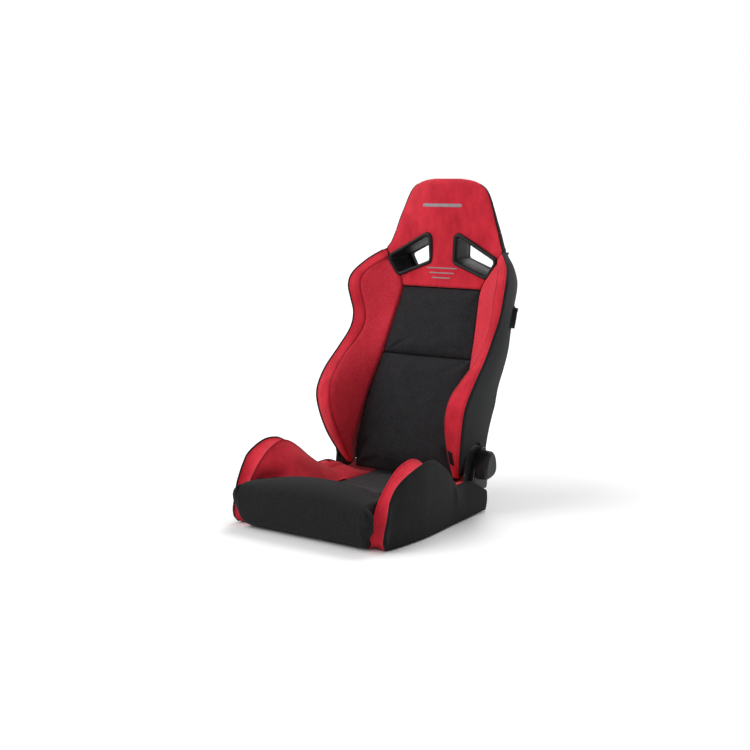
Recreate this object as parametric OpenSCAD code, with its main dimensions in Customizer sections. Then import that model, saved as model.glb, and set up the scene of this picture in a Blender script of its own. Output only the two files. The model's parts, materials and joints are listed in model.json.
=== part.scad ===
// Reclining bucket-style sports seat, in millimetres.
// Frame: +Z up, the sitter faces -Y, +X is the sitter's left. The origin is the centre of the four
// mounting bolts, on the plane that the seat stands on.

/* [Seat] */
// Width across the shoulder bolsters
shoulder_w = 560; // [540:1:580]
// Thickness of the foam behind the backrest's front surface
back_foam = 44; // [40:1:46]
// Thickness of the sewn outer panels
skin_t = 4; // [3:0.5:4.5]

/* [Mounting] */
// Distance between the left and right mounting bolts
mount_x = 400; // [396:1:408]
// Distance between the front and rear mounting bolts
mount_y = 330; // [300:1:360]
// Radius of a mounting hole and of its nut's thread
mount_r = 4; // [4:0.25:5]

/* [Frame] */
// Height of a side rail
rail_h = 40; // [36:1:40]
// Wall of a side rail
rail_t = 2.5; // [2:0.5:4]
// Radius of the backrest's frame tubes
tube_r = 10; // [8:0.5:11]
// Thickness of the hinge plates and brackets
plate_t = 4; // [3:0.5:4]

/* [Recliner] */
// Distance of the recliner axis behind the origin
pivot_y = 205; // [203:1:207]
// Height of the recliner axis
pivot_z = 147; // [145:1:149]
// Radius of a recliner disc
disc_r = 36; // [30:1:38]
// Radius of the shaft that joins both recliners
shaft_r = 6; // [5:0.5:7]
// Height of the recline dial
dial_h = 76; // [70:1:80]
// Width of the recline dial
dial_w = 58; // [50:1:62]

/* [Belt slots] */
// Width of a belt slot's rim
rim_w = 11; // [9:1:12]

/* [Hidden] */
$fn = 48;

RED = [0.72, 0.08, 0.13];
BLACK = [0.09, 0.09, 0.10];
PLASTIC = [0.05, 0.05, 0.055];
STEEL = [0.38, 0.39, 0.41];
ZINC = [0.62, 0.63, 0.65];

gap = 0.5;                    // clearance between neighbouring soft pieces
kx = shoulder_w / 560;        // scale of every soft piece's width

// Stack of the recliner on one side, from the middle of the seat outwards
side_plate_x = 199.5;
hinge_plate_x = 205;
disc_in_x = 209.3;
disc_out_x = 215.5;
disc_end_x = 225.3;
bracket_x = 226;
cover_x = 231;
cover_end_x = 245.5;
dial_x = 249;
dial_end_x = 288;
rail_in_x = 192;
rail_out_x = 225.5;
rail_y = [-240, 245];         // front and rear end of the side rails
pan_z = rail_h + 0.2;         // the pan lies on the rails
pan_t = 2;
foam_z = pan_z + pan_t + 0.8; // the cushion's foam starts here
disc_room_r = 44;             // the backrest's foam is hollow this far round the recliner's discs,
plate_room_r = 55;            // this far round the hinge plate,
cover_room_r = 57;            // and this far round the bracket and its cover
heel_r = 63;                  // the lower back pad ends in a heel of this radius about the axis
sweep_r = 67;                 // the cushion stays this far from the recliner axis

// ---- Curves of the backrest at its rest angle: height, distance from the middle, depth ----
inner_edge = [[96, 184, 174], [150, 190, 187], [237, 186, 215], [307, 181, 242], [379, 169, 272],
    [430, 161, 293], [522, 152, 330], [612, 142, 367], [640, 147, 377], [662, 157, 381],
    [713, 194, 381], [738, 209, 387]];
seam = [[96, 180, 172], [150, 188, 147], [217, 198, 117], [264, 206, 101], [308, 212, 96],
    [350, 217, 110], [385, 223, 143], [428, 224, 196], [464, 218, 244], [501, 214, 280],
    [535, 217, 295], [576, 225, 295], [616, 235, 290], [650, 238, 296], [680, 226, 325],
    [713, 198, 374], [738, 209.5, 386]];
piping = [[96, 208, 168], [150, 222, 140], [210, 238, 111], [284, 252, 93], [330, 260, 100],
    [386, 264, 143], [451, 260, 216], [500, 255, 262], [545, 260, 284], [592, 272, 284],
    [630, 280, 283], [665, 276, 300], [701, 255, 339], [722, 232, 364], [738, 210, 388]];
rear_corner = [[96, 214, 290], [194, 219, 304], [297, 224, 330], [349, 225, 346], [399, 226, 374],
    [450, 226, 399], [502, 226, 412], [572, 227, 427], [640, 227, 446], [680, 222, 440],
    [716, 212, 424], [738, 204, 418]];
pad_face = [[96, 174], [165, 191], [237, 215], [307, 242], [427, 292], [624, 372], [700, 384],
    [760, 388]];
rear_face = [[96, 292], [150, 300], [246, 325], [349, 362], [450, 408], [572, 440], [650, 462],
    [720, 469], [800, 466], [870, 456], [925, 436], [945, 424], [952, 414]];
head_half = [[626, 140], [662, 157], [713, 194], [738, 209], [756, 200], [793, 186], [830, 173],
    [867, 159], [903, 144], [925, 130], [940, 109], [948, 86], [952, 60]];
head_face = [[626, 374], [660, 379], [700, 384], [760, 388], [820, 383], [862, 377], [905, 380],
    [935, 388], [952, 402]];
head_edge = [[626, 374], [662, 381], [713, 381], [738, 387], [756, 395], [793, 402], [830, 405],
    [867, 411], [903, 415], [925, 416], [945, 412], [952, 407]];

// ---- Curves of the cushion: distance behind the origin, distance from the middle, height ----
thigh_inner = [[-288, 219, 52], [-262, 218, 90], [-225, 216, 116], [-205, 212, 122],
    [-180, 190, 124], [-150, 158, 118], [-110, 136, 104], [-40, 131, 85], [20, 131, 77], [76, 132, 77]];
thigh_seam = [[-288, 228, 50], [-275, 226, 88], [-262, 224, 112], [-239, 221, 138], [-219, 220, 159],
    [-169, 220, 190], [-123, 221, 200], [-82, 222, 196], [-24, 221, 161], [5, 219, 139],
    [38, 216, 118], [76, 212, 104]];
thigh_piping = [[-288, 246, 48], [-280, 250, 80], [-270, 253, 110], [-261, 254, 131], [-238, 259, 160],
    [-201, 268, 187], [-131, 279, 208], [-80, 276, 210], [-43, 268, 192], [13, 258, 150],
    [47, 253, 127], [76, 250, 109], [122, 251, 111], [155, 252, 105], [244, 251, 62]];
skirt_foot = [[-288, 244, 30], [-281, 242, 14], [-270, 240, 3], [-230, 253, 3], [-107, 264, 3],
    [72, 252, 3], [244, 246, 3]];

// ---- Tools ----
// Number of the row of tab that t lies in
function row_of(t, tab, i = 0) = i >= len(tab) - 2 || t < tab[i + 1][0] ? i : row_of(t, tab, i + 1);
// Slope of column c at row i
function grade(tab, i, c) =
    let(a = tab[max(i - 1, 0)], b = tab[min(i + 1, len(tab) - 1)]) (b[c] - a[c]) / (b[0] - a[0]);
// Smooth curve through column c of tab, at t
function curve(t, tab, c = 1) =
    let(i = row_of(t, tab), a = tab[i], b = tab[i + 1], h = b[0] - a[0],
        s = (min(max(t, tab[0][0]), tab[len(tab) - 1][0]) - a[0]) / h)
    (1 + 2 * s) * pow(1 - s, 2) * a[c] + s * pow(1 - s, 2) * h * grade(tab, i, c)
    + s * s * (3 - 2 * s) * b[c] + s * s * (s - 1) * h * grade(tab, i + 1, c);
// Point of a three-column table at t, as the two values after t
function at(t, tab) = [kx * curve(t, tab, 1), curve(t, tab, 2)];
// Points from a to b, n steps, bulging sideways by h
function bow(a, b, n, h) =
    let(d = b - a, l = max(norm(d), 0.01), side = [d.y, -d.x] / l)
    [for (i = [0:n]) a + d * i / n + side * h * sin(180 * i / n)];
// Drops the last point of a list
function but_last(p) = [for (i = [0:len(p) - 2]) p[i]];
// Evenly spaced values
function steps(a, b, n) = [for (i = [0:n]) a + (b - a) * i / n];
// A half outline and its mirror image, joined into one list
function both_sides(p) = concat(p, [for (i = [len(p) - 1:-1:0]) [-p[i].x, p[i].y]]);

// Closed solid through rings of points, which run right-handed about the way from first to last
module loft(rings) {
    n = len(rings[0]);
    m = len(rings);
    polyhedron(
        points = [for (ring = rings) each ring],
        faces = concat(
            [[for (i = [0:n - 1]) i]],
            [for (k = [0:m - 2], i = [0:n - 1]) [k * n + i, (k + 1) * n + i, (k + 1) * n + (i + 1) % n]],
            [for (k = [0:m - 2], i = [0:n - 1]) [k * n + i, (k + 1) * n + (i + 1) % n, k * n + (i + 1) % n]],
            [[for (i = [n - 1:-1:0]) (m - 1) * n + i]]));
}
// Rings from sections at heights, at depths or at widths
function level(z, section) = [for (p = section) [p.x, p.y, z]];
function slice(y, section) = [for (p = section) [p.x, y, p.y]];
// A flat plate: children drawn in Y and Z, from x to x + t
module plate(x, t) {
    translate([x, 0, 0]) rotate([90, 0, 90]) linear_extrude(t) children();
}
// A round bar along X
module x_bar(x0, x1, y, z, r) {
    translate([x0, y, z]) rotate([0, 90, 0]) cylinder(r = r, h = x1 - x0);
}
// Puts a right-hand (+X) piece on the left (+X) or mirrors it to the sitter's right (-X)
module side(s) {
    if (s > 0) children();
    else mirror([1, 0, 0]) children();
}
// The space round the recliner that the backrest's outer trim leaves free
module recliner_room() {
    x_bar(side_plate_x - gap, bracket_x - 1, pivot_y, pivot_z, disc_room_r);
    x_bar(hinge_plate_x - 1, hinge_plate_x + plate_t + 1, pivot_y, pivot_z, plate_room_r);
    x_bar(bracket_x - 2, 320, pivot_y, pivot_z, cover_room_r);
}
// Ring of the backrest's trim: the lowest one slants up to the rear, and the slant fades out by 296
function trim_ring(z, section) =
    let(slant = 0.374 * max(0, 1 - (z - 96) / 200)) [for (p = section) [p.x, p.y, z + slant * (p.y - 150)]];

// ---- Cushion frame ----
module side_rail(s) {
    color(STEEL) side(s) difference() {
        translate([rail_in_x, rail_y[0], 0]) cube([rail_out_x - rail_in_x, rail_y[1] - rail_y[0], rail_h]);
        translate([rail_in_x - 1, rail_y[0] - 1, rail_t])
            cube([rail_out_x - rail_in_x + 1 - rail_t, rail_y[1] - rail_y[0] + 2, rail_h - 2 * rail_t]);
        for (y = [-mount_y / 2, mount_y / 2])
            translate([mount_x / 2, y, -1]) cylinder(r = mount_r, h = rail_t + 2);
        for (y = [156, 198, 238]) x_bar(rail_out_x - rail_t - 1, rail_out_x + 1, y, rail_h / 2, 4);
    }
}
module mount_nuts() {
    color(ZINC) for (x = [-mount_x / 2, mount_x / 2], y = [-mount_y / 2, mount_y / 2])
        translate([x, y, rail_t]) difference() {
            cylinder(r = 7.4, h = 6.5, $fn = 6);
            translate([0, 0, -1]) cylinder(r = mount_r, h = 9);
        }
}
module cross_tube(y, z) {
    color(STEEL) difference() {
        x_bar(-rail_in_x + 0.2, rail_in_x - 0.2, y, z, 12);
        x_bar(-rail_in_x - 1, rail_in_x + 1, y, z, 10);
    }
}
pan_end = -70;                // the pan reaches back to here, and the spring mat lies behind it
module seat_pan() {
    color(STEEL) difference() {
        translate([-rail_out_x, rail_y[0], pan_z]) cube([2 * rail_out_x, pan_end - rail_y[0], pan_t]);
        for (x = [-150:60:150], y = [-200, -130]) translate([x, y, pan_z - 1]) cylinder(r = 12, h = pan_t + 2);
    }
}
module cushion_spring_mat() {
    wire_r = 1.6;
    z = rail_h - wire_r - 0.5;
    color(ZINC) {
        for (y = steps(-50, 190, 6)) x_bar(-rail_in_x + 0.2, rail_in_x - 0.2, y, z, wire_r);
        for (x = steps(-140, 140, 4)) translate([x - 4, -56, z - wire_r - 0.6]) cube([8, 252, 1.4]);
    }
}

// ---- Cushion upholstery ----
// The insert's top, which turns up behind the heel of the backrest and closes the gap there
insert_top = [[-124, 110], [-80, 97], [-20, 83], [30, 77], [110, 76], [160, 76], [205, 79], [222, 81.5],
    [234, 87]];
module cushion_insert() {
    color(BLACK) loft([for (x = steps(-129, 129, 8)) let(edge = 2.5 * pow(abs(x) / 129, 2))
        [for (p = concat([[238, foam_z], [238, 70]],
            [for (i = [len(insert_top) - 1:-1:0]) [insert_top[i][0], insert_top[i][1] - edge]],
            [[-124, foam_z]])) [kx * x, p.x, p.y]]]);
}
// Depth of the nose pad's rear edge at width x
function nose_rear(x) = abs(x) < 122 ? -125 : -125 - 92 * pow((abs(x) - 122) / 94, 1.3);
// Outline of the nose pad at width x, shrunk by e at its two ends
function nose_section(x, e = 0) =
    let(r = nose_rear(x) - 0.5, top = 156 - 34 * pow(abs(x) / 216, 2) - e, f = -311 + e, d = r - f)
    [[r, 3 + e], [r, 112 - e + (abs(x) > 126 ? 8 * (abs(x) - 126) / 90 : 0)], [f + 0.74 * d, top - 8],
     [f + 0.5 * d, top - 1], [f + 0.32 * d, top], [f + 0.16 * d, 0.95 * top], [f + 0.05 * d, 0.82 * top],
     [f, 88], [f + 4, 50], [f + 20, 16 + e], [f + 42, 3 + e]];
module nose_pad() {
    ends = [[-215, 9], [-210, 2]];
    color(BLACK) difference() {
        loft([for (q = concat(ends, [for (x = steps(-195, 195, 10)) [x, 0]],
                [for (i = [1:-1:0]) [-ends[i].x, ends[i].y]]))
            [for (p = nose_section(q[0], q[1])) [kx * q[0], p.x, p.y]]]);
        translate([-rail_out_x - 1, rail_y[0] - 5, -1]) cube([2 * rail_out_x + 2, 300, foam_z + 1]);
    }
}
// Section of a thigh bolster at depth y, in X and Z
function thigh_section(y) =
    let(a = at(y, thigh_inner), s = at(y, thigh_seam), p = at(y, thigh_piping) - [skin_t + 1.2, 1],
        f = at(y, skirt_foot) - [skin_t + 1.2, 0])
    concat([[a.x + gap, f.y]], but_last(bow(a + [gap, -1], s, 5, -4)), but_last(bow(s, p, 3, -4)),
        bow(p, f, 4, -3));
// Room for the rail, the pan, the recliner bracket and the recliner's sweep
module cushion_room() {
    translate([-rail_out_x - 1, rail_y[0] - 5, -1]) cube([2 * rail_out_x + 2, 600, foam_z + 1]);
    translate([bracket_x - 2, 118, -1]) cube([cover_end_x - bracket_x + 2 + gap, 200, 240]);
    x_bar(0, bracket_x + 1, pivot_y, pivot_z, sweep_r);
}
module thigh_bolster(s) {
    color(RED) side(s) difference() {
        loft([for (y = concat([-288, -282, -272, -256], steps(-235, 75, 12))) slice(y, thigh_section(y))]);
        cushion_room();
    }
}
module hip_pad(s) {
    color(RED) side(s) difference() {
        loft([for (y = steps(77, 228, 6))
            let(p = at(y, thigh_piping) - [skin_t + gap, 3], f = at(y, skirt_foot) - [skin_t + gap, 0],
                m = [205, 94 - 0.35 * max(0, y - 150)])
            slice(y, concat([[131, f.y]], but_last(bow([131, 76], m, 4, -2)), but_last(bow(m, p, 3, -3)),
                [p, f]))]);
        cushion_room();
    }
}
module side_skirt(s) {
    color(BLACK) side(s) loft([for (y = concat([-288, -282, -272, -256], steps(-235, 244, 18)))
        let(p = at(y, thigh_piping), f = at(y, skirt_foot), out = bow(p, f, 4, -3))
        slice(y, concat(out, [for (i = [4:-1:0]) out[i] - [skin_t, i == 0 ? 1 : 0]]))]);
}

// ---- Recliner ----
module bracket_shape() {
    translate([pivot_y, pivot_z]) circle(r = 52);
    polygon([[142, 6], [249, 6], [249, 90], [253, 130], [pivot_y, pivot_z], [157, 133], [153, 104], [144, 78]]);
}
module lower_bracket(s) {
    color(STEEL) side(s) difference() {
        plate(bracket_x, plate_t) bracket_shape();
        x_bar(bracket_x - 1, bracket_x + plate_t + 1, pivot_y, pivot_z, shaft_r + 0.5);
        for (y = [156, 198, 238]) x_bar(bracket_x - 1, bracket_x + plate_t + 1, y, rail_h / 2, 4);
    }
}
module bracket_bolts() {
    color(ZINC) for (s = [-1, 1]) side(s) for (y = [156, 198, 238]) {
        x_bar(rail_out_x - 8, bracket_x + plate_t, y, rail_h / 2, 3.9);
        translate([bracket_x + plate_t, y, rail_h / 2]) rotate([0, 90, 0]) cylinder(r = 7, h = 5, $fn = 6);
    }
}
module recliner_disc(s, x0, x1) {
    color(ZINC) side(s) difference() {
        union() {
            x_bar(x0, x1, pivot_y, pivot_z, disc_r);
            x_bar(x0, x1 - 2, pivot_y, pivot_z, disc_r + 2);
        }
        x_bar(x0 - 1, x1 + 1, pivot_y, pivot_z, shaft_r + 0.5);
    }
}
// Outline of the recliner cover, drawn in Y and Z and shrunk by e
module cover_shape(e) {
    translate([pivot_y + 3, pivot_z - 14]) circle(r = 52 - e);
    polygon([[157 + e, 66 + e], [256 - e, 66 + e], [259 - e, pivot_z - 16], [158 + e, pivot_z - 16]]);
}
module recliner_cover(s) {
    color(PLASTIC) side(s) difference() {
        union() {
            plate(cover_x, cover_end_x - cover_x - 3) cover_shape(0);
            plate(cover_end_x - 3, 3) cover_shape(2);
        }
        plate(cover_x - 1, cover_end_x - cover_x - 1.5) cover_shape(4);
        if (s > 0) x_bar(cover_x, cover_end_x + 1, pivot_y, pivot_z, shaft_r + 1);
    }
}
module hinge_plate(s) {
    color(STEEL) side(s) difference() {
        plate(hinge_plate_x, plate_t) {
            translate([pivot_y, pivot_z]) circle(r = 40);
            translate([pivot_y, pivot_z]) rotate(-33) translate([-16, 0]) square([32, 50]);
        }
        x_bar(hinge_plate_x - 1, hinge_plate_x + plate_t + 1, pivot_y, pivot_z, shaft_r + 0.5);
    }
}
module sync_shaft() {
    color(ZINC) {
        x_bar(-bracket_x - plate_t - 2, dial_x + 20, pivot_y, pivot_z, shaft_r);
        x_bar(-bracket_x - plate_t - 3.5, -bracket_x - plate_t - 0.5, pivot_y, pivot_z, shaft_r + 3);
    }
}
// Outline of the recline dial about its axis, drawn in Y and Z and shrunk by e
module dial_shape(e) {
    intersection() {
        circle(r = dial_h / 2 - e);
        translate([-dial_w / 2 + e, -dial_h]) square([dial_w - 2 * e, 2 * dial_h]);
    }
}
module recline_dial() {
    color(PLASTIC) translate([0, pivot_y, pivot_z]) difference() {
        union() {
            plate(dial_x, 3) circle(r = dial_h / 2 - 4);
            plate(dial_x + 3, dial_end_x - dial_x - 6) dial_shape(0);
            plate(dial_end_x - 3, 3) dial_shape(2);
        }
        x_bar(dial_x - 1, dial_x + 20, 0, 0, shaft_r);
    }
}

// ---- Backrest frame: drawn upright, then leaned back on its own plane ----
lean = 21.1;
module on_back_plane() {
    translate([0, 262, 190]) rotate([-lean, 0, 0]) children();
}
side_tube_x = 184;
module back_side_plate(s) {
    color(STEEL) side(s) difference() {
        plate(side_plate_x, plate_t - 1) {
            translate([pivot_y, pivot_z]) circle(r = 34);
            polygon([[pivot_y - 26, pivot_z + 16], [pivot_y + 28, pivot_z - 16], [286, 210], [337, 345],
                [348, 395], [330, 395], [262, 240]]);
        }
        x_bar(side_plate_x - 1, side_plate_x + plate_t, pivot_y, pivot_z, shaft_r + 0.5);
        for (z = [260, 340]) x_bar(side_plate_x - 1, side_plate_x + plate_t, 262 + (z - 190) * tan(lean), z, 4);
    }
}
module back_tube(s) {
    color(STEEL) side(s) on_back_plane() translate([side_tube_x, 0, 8]) difference() {
        cylinder(r = tube_r, h = 432);
        translate([0, 0, -1]) cylinder(r = tube_r - 2, h = 434);
    }
}
module back_cross_tube() {
    color(STEEL) on_back_plane() difference() {
        x_bar(-side_tube_x + tube_r + 0.3, side_tube_x - tube_r - 0.3, 0, 425, tube_r - 1);
        x_bar(-side_tube_x, side_tube_x, 0, 425, tube_r - 3);
    }
}
module lumbar_cross_bar() {
    color(STEEL) on_back_plane()
        translate([-side_tube_x + tube_r + 0.3, -3, 25]) cube([2 * (side_tube_x - tube_r) - 0.6, 3, 34]);
}
module back_spring_mat() {
    color(ZINC) on_back_plane() {
        for (z = steps(90, 390, 6)) x_bar(-side_tube_x + tube_r + 0.5, side_tube_x - tube_r - 0.5, -3, z, 1.5);
        for (x = steps(-105, 105, 3)) translate([x - 4, -5.2, 75]) cube([8, 1.4, 330]);
    }
}
head_stay_y = 424;
module head_stay() {
    color(STEEL) for (x = [-18, 18]) translate([x, head_stay_y, 604]) cylinder(r = 5, h = 256);
}

// ---- Backrest upholstery ----
// Outer side of the backrest at height z, from the piping to the rear corner, moved in by t
function side_line(z, n, t) = [for (p = bow(at(z, piping), at(z, rear_corner), n, 7)) p - [t, 0]];
function wing_back(z) =
    min(curve(z, pad_face) + back_foam, curve(z, rear_face) - 30, curve(z, rear_corner, 2) - 9);
function wing_section(z) =
    let(a = at(z, inner_edge) + [gap, 0], s = at(z, seam), p = at(z, piping) - [skin_t + 1, 0],
        back = wing_back(z), r = at(z, rear_corner),
        t = min(1, max(0.05, (back - p.y) / (r.y - p.y))),
        out = [for (i = [1:4]) let(q = i / 4 * t)
            [p.x + (r.x - skin_t - 1 - p.x) * q + 7 * sin(180 * q), p.y + (r.y - p.y) * q]])
    concat([[a.x, back]], but_last(bow(a, s, 5, -5)), but_last(bow(s, p, 3, 3)), [p], out);
module wing(s) {
    color(RED) side(s) difference() {
        loft([for (z = concat(steps(97, 620, 18), [640, 660, 680, 700, 715, 727, 734]))
            trim_ring(z, wing_section(z))]);
        recliner_room();
        x_bar(0, 320, pivot_y, pivot_z, shaft_r + 6);
        side_plate_room(1);
        slot_room();
    }
}
// Room round the backrest's own side plate
module side_plate_room(s) {
    side(s) plate(side_plate_x - gap, plate_t + 2 * gap - 1)
        polygon([[170, 150], [pivot_y, pivot_z - 40], [300, 205], [360, 400], [322, 400], [255, 245]]);
}
// Front face of a back pad at height z and width x, between its edge and a crown of c
function pad_point(z, u, w, c) = [kx * w * u, curve(z, pad_face) - c * (1 - pow(abs(u), 3)) + 3];
function pad_section(z, c) =
    let(w = curve(z, inner_edge) - 1.2, b = curve(z, pad_face) + back_foam)
    concat([for (u = steps(-1, 1, 10)) pad_point(z, u, w, c)], [[kx * w, b], [-kx * w, b]]);
module back_pad_upper() {
    color(BLACK) loft([for (q = [[432, 2], [440, 7], [480, 10], [540, 10], [590, 9], [615, 6], [624, 1]])
        level(q[0], pad_section(q[0], q[1]))]);
}
// Half length of the chord that height z cuts from the round heel below the recliner axis
function heel(z) = z < pivot_z ? sqrt(pow(heel_r, 2) - pow(pivot_z - z, 2)) : 500;
function heel_section(z, c) = [for (p = pad_section(z, c))
    [p.x, min(max(p.y, pivot_y - heel(z) + 3 * pow(p.x / 190, 2)), pivot_y + heel(z))]];
module back_pad_lower() {
    color(BLACK) difference() {
        loft([for (q = [[86, 0], [90, 1], [97, 3], [110, 5], [130, 6], [180, 9], [240, 11], [310, 12],
                [370, 11], [415, 8], [431, 2]]) level(q[0], heel_section(q[0], q[1]))]);
        x_bar(-320, 320, pivot_y, pivot_z, shaft_r + 6);
    }
}
// Half section of the head's front face, from the middle outwards
function head_front(z, n) =
    let(w = curve(z, head_half) - 1.5, m = curve(z, head_face), e = curve(z, head_edge))
    [for (i = [0:n]) let(u = i / n) [kx * w * u, m + (e - m) * pow(u, 2.4)]];
// Half section of the back of the backrest at height z, from the middle outwards
function rear_line(z, n) =
    let(c = at(z, rear_corner), m = curve(z, rear_face))
    [for (i = [0:n]) let(u = i / n) [c.x * u, m + (c.y - m) * pow(u, 3)]];
function head_section(z) =
    let(f = head_front(z, 6), w = f[6].x, b = max(min(curve(z, rear_face) - skin_t - 1.5, 470), f[6].y + 1))
    concat([for (i = [6:-1:1]) [-f[i].x, f[i].y]], f,
        z < 738 ? both_sides([[w - 3, f[6].y + 16], [w * 0.85, f[6].y + 36]])
                : both_sides([[w - 4, f[6].y + 1], [w - 6.5, f[6].y + max(2, head_side(z) - 7)],
                    [w * 0.7, f[6].y + 0.5 * (b - f[6].y)], [w * 0.4, b - 7]]));
module head_pad() {
    color(RED) difference() {
        union() {
            loft([for (z = [626, 640, 662, 690, 713, 737]) level(z, head_section(z))]);
            loft([for (z = [738, 756, 780, 805, 830, 855, 880, 903, 925, 940, 947, 950])
                level(z - 1, head_section(z))]);
        }
        for (s = [-1, 1]) side(s) slot_room();
        for (x = [-18, 18]) translate([x, head_stay_y, 600]) cylinder(r = 5.6, h = 262);
    }
}
module side_panel(s) {
    color(BLACK) side(s) difference() {
        loft([for (z = concat(steps(97, 620, 18), [640, 660, 680, 700, 715, 727, 735]))
            let(out = side_line(z, 6, 0), in = side_line(z, 6, skin_t))
            trim_ring(z, concat(out, [for (i = [6:-1:0]) in[i]]))]);
        recliner_room();
    }
}
module rear_panel() {
    color(BLACK) difference() {
        loft([for (z = concat(steps(150, 620, 16), [645, 670, 695, 715, 736]))
            let(out = rear_line(z, 8), in = [for (p = out) p - [0.6 * skin_t * p.x / out[8].x, skin_t]])
            level(z, concat(
                [for (i = [8:-1:1]) [-in[i].x + skin_t + 1, in[i].y]], [for (i = [0:8]) in[i] - [i * (skin_t + 1) / 8, 0]],
                [for (i = [8:-1:0]) out[i] - [i * (skin_t + 1) / 8, 0]],
                [for (i = [1:8]) [-out[i].x + i * (skin_t + 1) / 8, out[i].y]]))]);
        for (s = [-1, 1]) side(s) slot_room();
    }
}
// Back of the head: a shell from one edge round to the other
function head_side(z) = 26 - 18 * (z - 738) / 190;
function head_shell(z, t) =
    let(w = kx * curve(z, head_half) - t, e = curve(z, head_edge), m = curve(z, rear_face) - t,
        d = max(e + 3, e + head_side(z) - t))
    [[w, e + 1 + t / 4], [w - 2, d], [w * 0.93, d + 0.2 * (m - d)], [w * 0.75, d + 0.62 * (m - d)],
     [w * 0.45, d + 0.93 * (m - d)], [0, m]];
module head_cover(heights) {
    loft([for (z = heights) let(out = head_shell(z, 0), in = head_shell(z, skin_t))
        level(z, concat([for (p = in) [-p.x, p.y]], [for (i = [4:-1:0]) in[i]],
            out, [for (i = [4:-1:0]) [-out[i].x, out[i].y]]))]);
}
module head_rear_cover() {
    color(BLACK) difference() {
        head_cover([784, 805, 830, 855, 880, 903, 925, 935]);
        translate([-300, 300, 700]) cube([600, 300, 94]);
        for (s = [-1, 1]) side(s) slot_room();
    }
}
module neck_rear_cover() {
    color(BLACK) difference() {
        head_cover([738, 750, 765, 780, 793]);
        for (s = [-1, 1]) side(s) slot_room();
    }
}

// ---- Belt slots ----
// Corners of a slot's rim, in X and Z, and of its opening at the back
slot_front = [[43, 787], [35, 701], [154, 658], [196, 714]];
slot_rear = [[46, 768], [44, 706], [138, 672], [160, 712]];
slot_y = [372, 476];          // from in front of the head pad to behind the rear panel
// A slot's outline with round corners of radius r, drawn in X and Z and shrunk by e
module slot_shape(corners, r, e) {
    mid = (corners[0] + corners[1] + corners[2] + corners[3]) / 4;
    hull() for (c = corners) translate(c + (mid - c) / norm(mid - c) * (r + e) * 1.25) circle(r = r, $fn = 24);
}
module slot_slab(corners, y, t, r, e) {
    translate([0, y + t, 0]) rotate([90, 0, 0]) linear_extrude(t) slot_shape(corners, r, e);
}
module slot_tube(e) {
    hull() {
        slot_slab(slot_front, slot_y[0] + 2, 1, 11, 6 + e);
        slot_slab(slot_rear, slot_y[1], 1, 9, e - 2);
    }
}
bezel_turn = -9;              // the rear bezel follows the crowned rear panel
module bezel_place() {
    translate([45, 469, 0]) rotate([0, 0, bezel_turn]) children();
}
// The rear bezel's outline as a slab, grown by e
module bezel_slab(e) {
    bezel_place() translate([-45, -469, 0]) slot_slab(slot_rear, 463.2 - e, 11 + e, 12, -9 - e);
}
module slot_room() {
    slot_tube(-0.8);
    slot_slab(slot_front, 300, 91, 13, 3.4);
    bezel_slab(gap);
}
// Front rim and the tunnel behind it
module belt_guide(s) {
    color(PLASTIC) side(s) difference() {
        union() {
            slot_slab(slot_front, 376, 14, 13, 4);
            intersection() {
                slot_tube(0);
                translate([0, 385, 600]) cube([300, 200, 300]);
                bezel_place() translate([-200, -96.8, 600]) cube([500, 90, 300]);
            }
        }
        slot_tube(rim_w - 6);
        slot_slab(slot_front, slot_y[0] - 5, 12, 11, 6 + rim_w - 6);
    }
}
module belt_bezel_rear(s) {
    color(PLASTIC) side(s) difference() {
        bezel_slab(0);
        slot_tube(rim_w - 6);
    }
}

// ---- Fold levers ----
lever_top = 24;               // the lever's pin is this far above its middle
module on_back_edge() {
    translate([237.2, 396, 548]) rotate([-12, 7.5, 21]) children();
}
module rounded_bar(x, t, w, h) {
    plate(x, t) {
        square([w, h - w], center = true);
        for (k = [-1, 1]) translate([0, k * (h - w) / 2]) circle(d = w);
    }
}
module lever_base(s) {
    color(PLASTIC) side(s) on_back_edge() difference() {
        rounded_bar(0.6, 2.4, 24, 70);
        x_bar(-1, 4, 0, lever_top, 2.5);
    }
}
module lever_pin(s) {
    color(ZINC) side(s) on_back_edge() {
        x_bar(0, 12.5, 0, lever_top, 2.5);
        x_bar(12.5, 14, 0, lever_top, 4);
    }
}
module fold_lever(s) {
    color(PLASTIC) side(s) on_back_edge() difference() {
        rounded_bar(3.5, 8.6, 15, 62);
        x_bar(2, 16, 0, lever_top, 2.55);
        translate([0, 0, -6]) rounded_bar(8.5, 10, 7, 30);
    }
}
module side_tag() {
    color(PLASTIC) translate([kx * 183, 112, 162]) rotate([-10, 0, -20]) cube([16, 1.5, 38]);
}

side_rail(1);  // side_rail_left
side_rail(-1);  // side_rail_right
cross_tube(-215, 20);  // front_cross_tube
cross_tube(222, 20);  // rear_cross_tube
seat_pan();
cushion_spring_mat();
mount_nuts();
cushion_insert();
nose_pad();
thigh_bolster(1);  // thigh_bolster_left
thigh_bolster(-1);  // thigh_bolster_right
hip_pad(1);  // hip_pad_left
hip_pad(-1);  // hip_pad_right
side_skirt(1);  // side_skirt_left
side_skirt(-1);  // side_skirt_right
lower_bracket(1);  // lower_bracket_left
lower_bracket(-1);  // lower_bracket_right
bracket_bolts();
recliner_disc(1, disc_out_x, disc_end_x);  // recliner_disc_outer_left
recliner_disc(-1, disc_out_x, disc_end_x);  // recliner_disc_outer_right
recliner_cover(1);  // recliner_cover_left
recliner_cover(-1);  // recliner_cover_right
recliner_disc(1, disc_in_x, disc_out_x - 0.3);  // recliner_disc_inner_left
recliner_disc(-1, disc_in_x, disc_out_x - 0.3);  // recliner_disc_inner_right
hinge_plate(1);  // hinge_plate_left
hinge_plate(-1);  // hinge_plate_right
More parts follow.
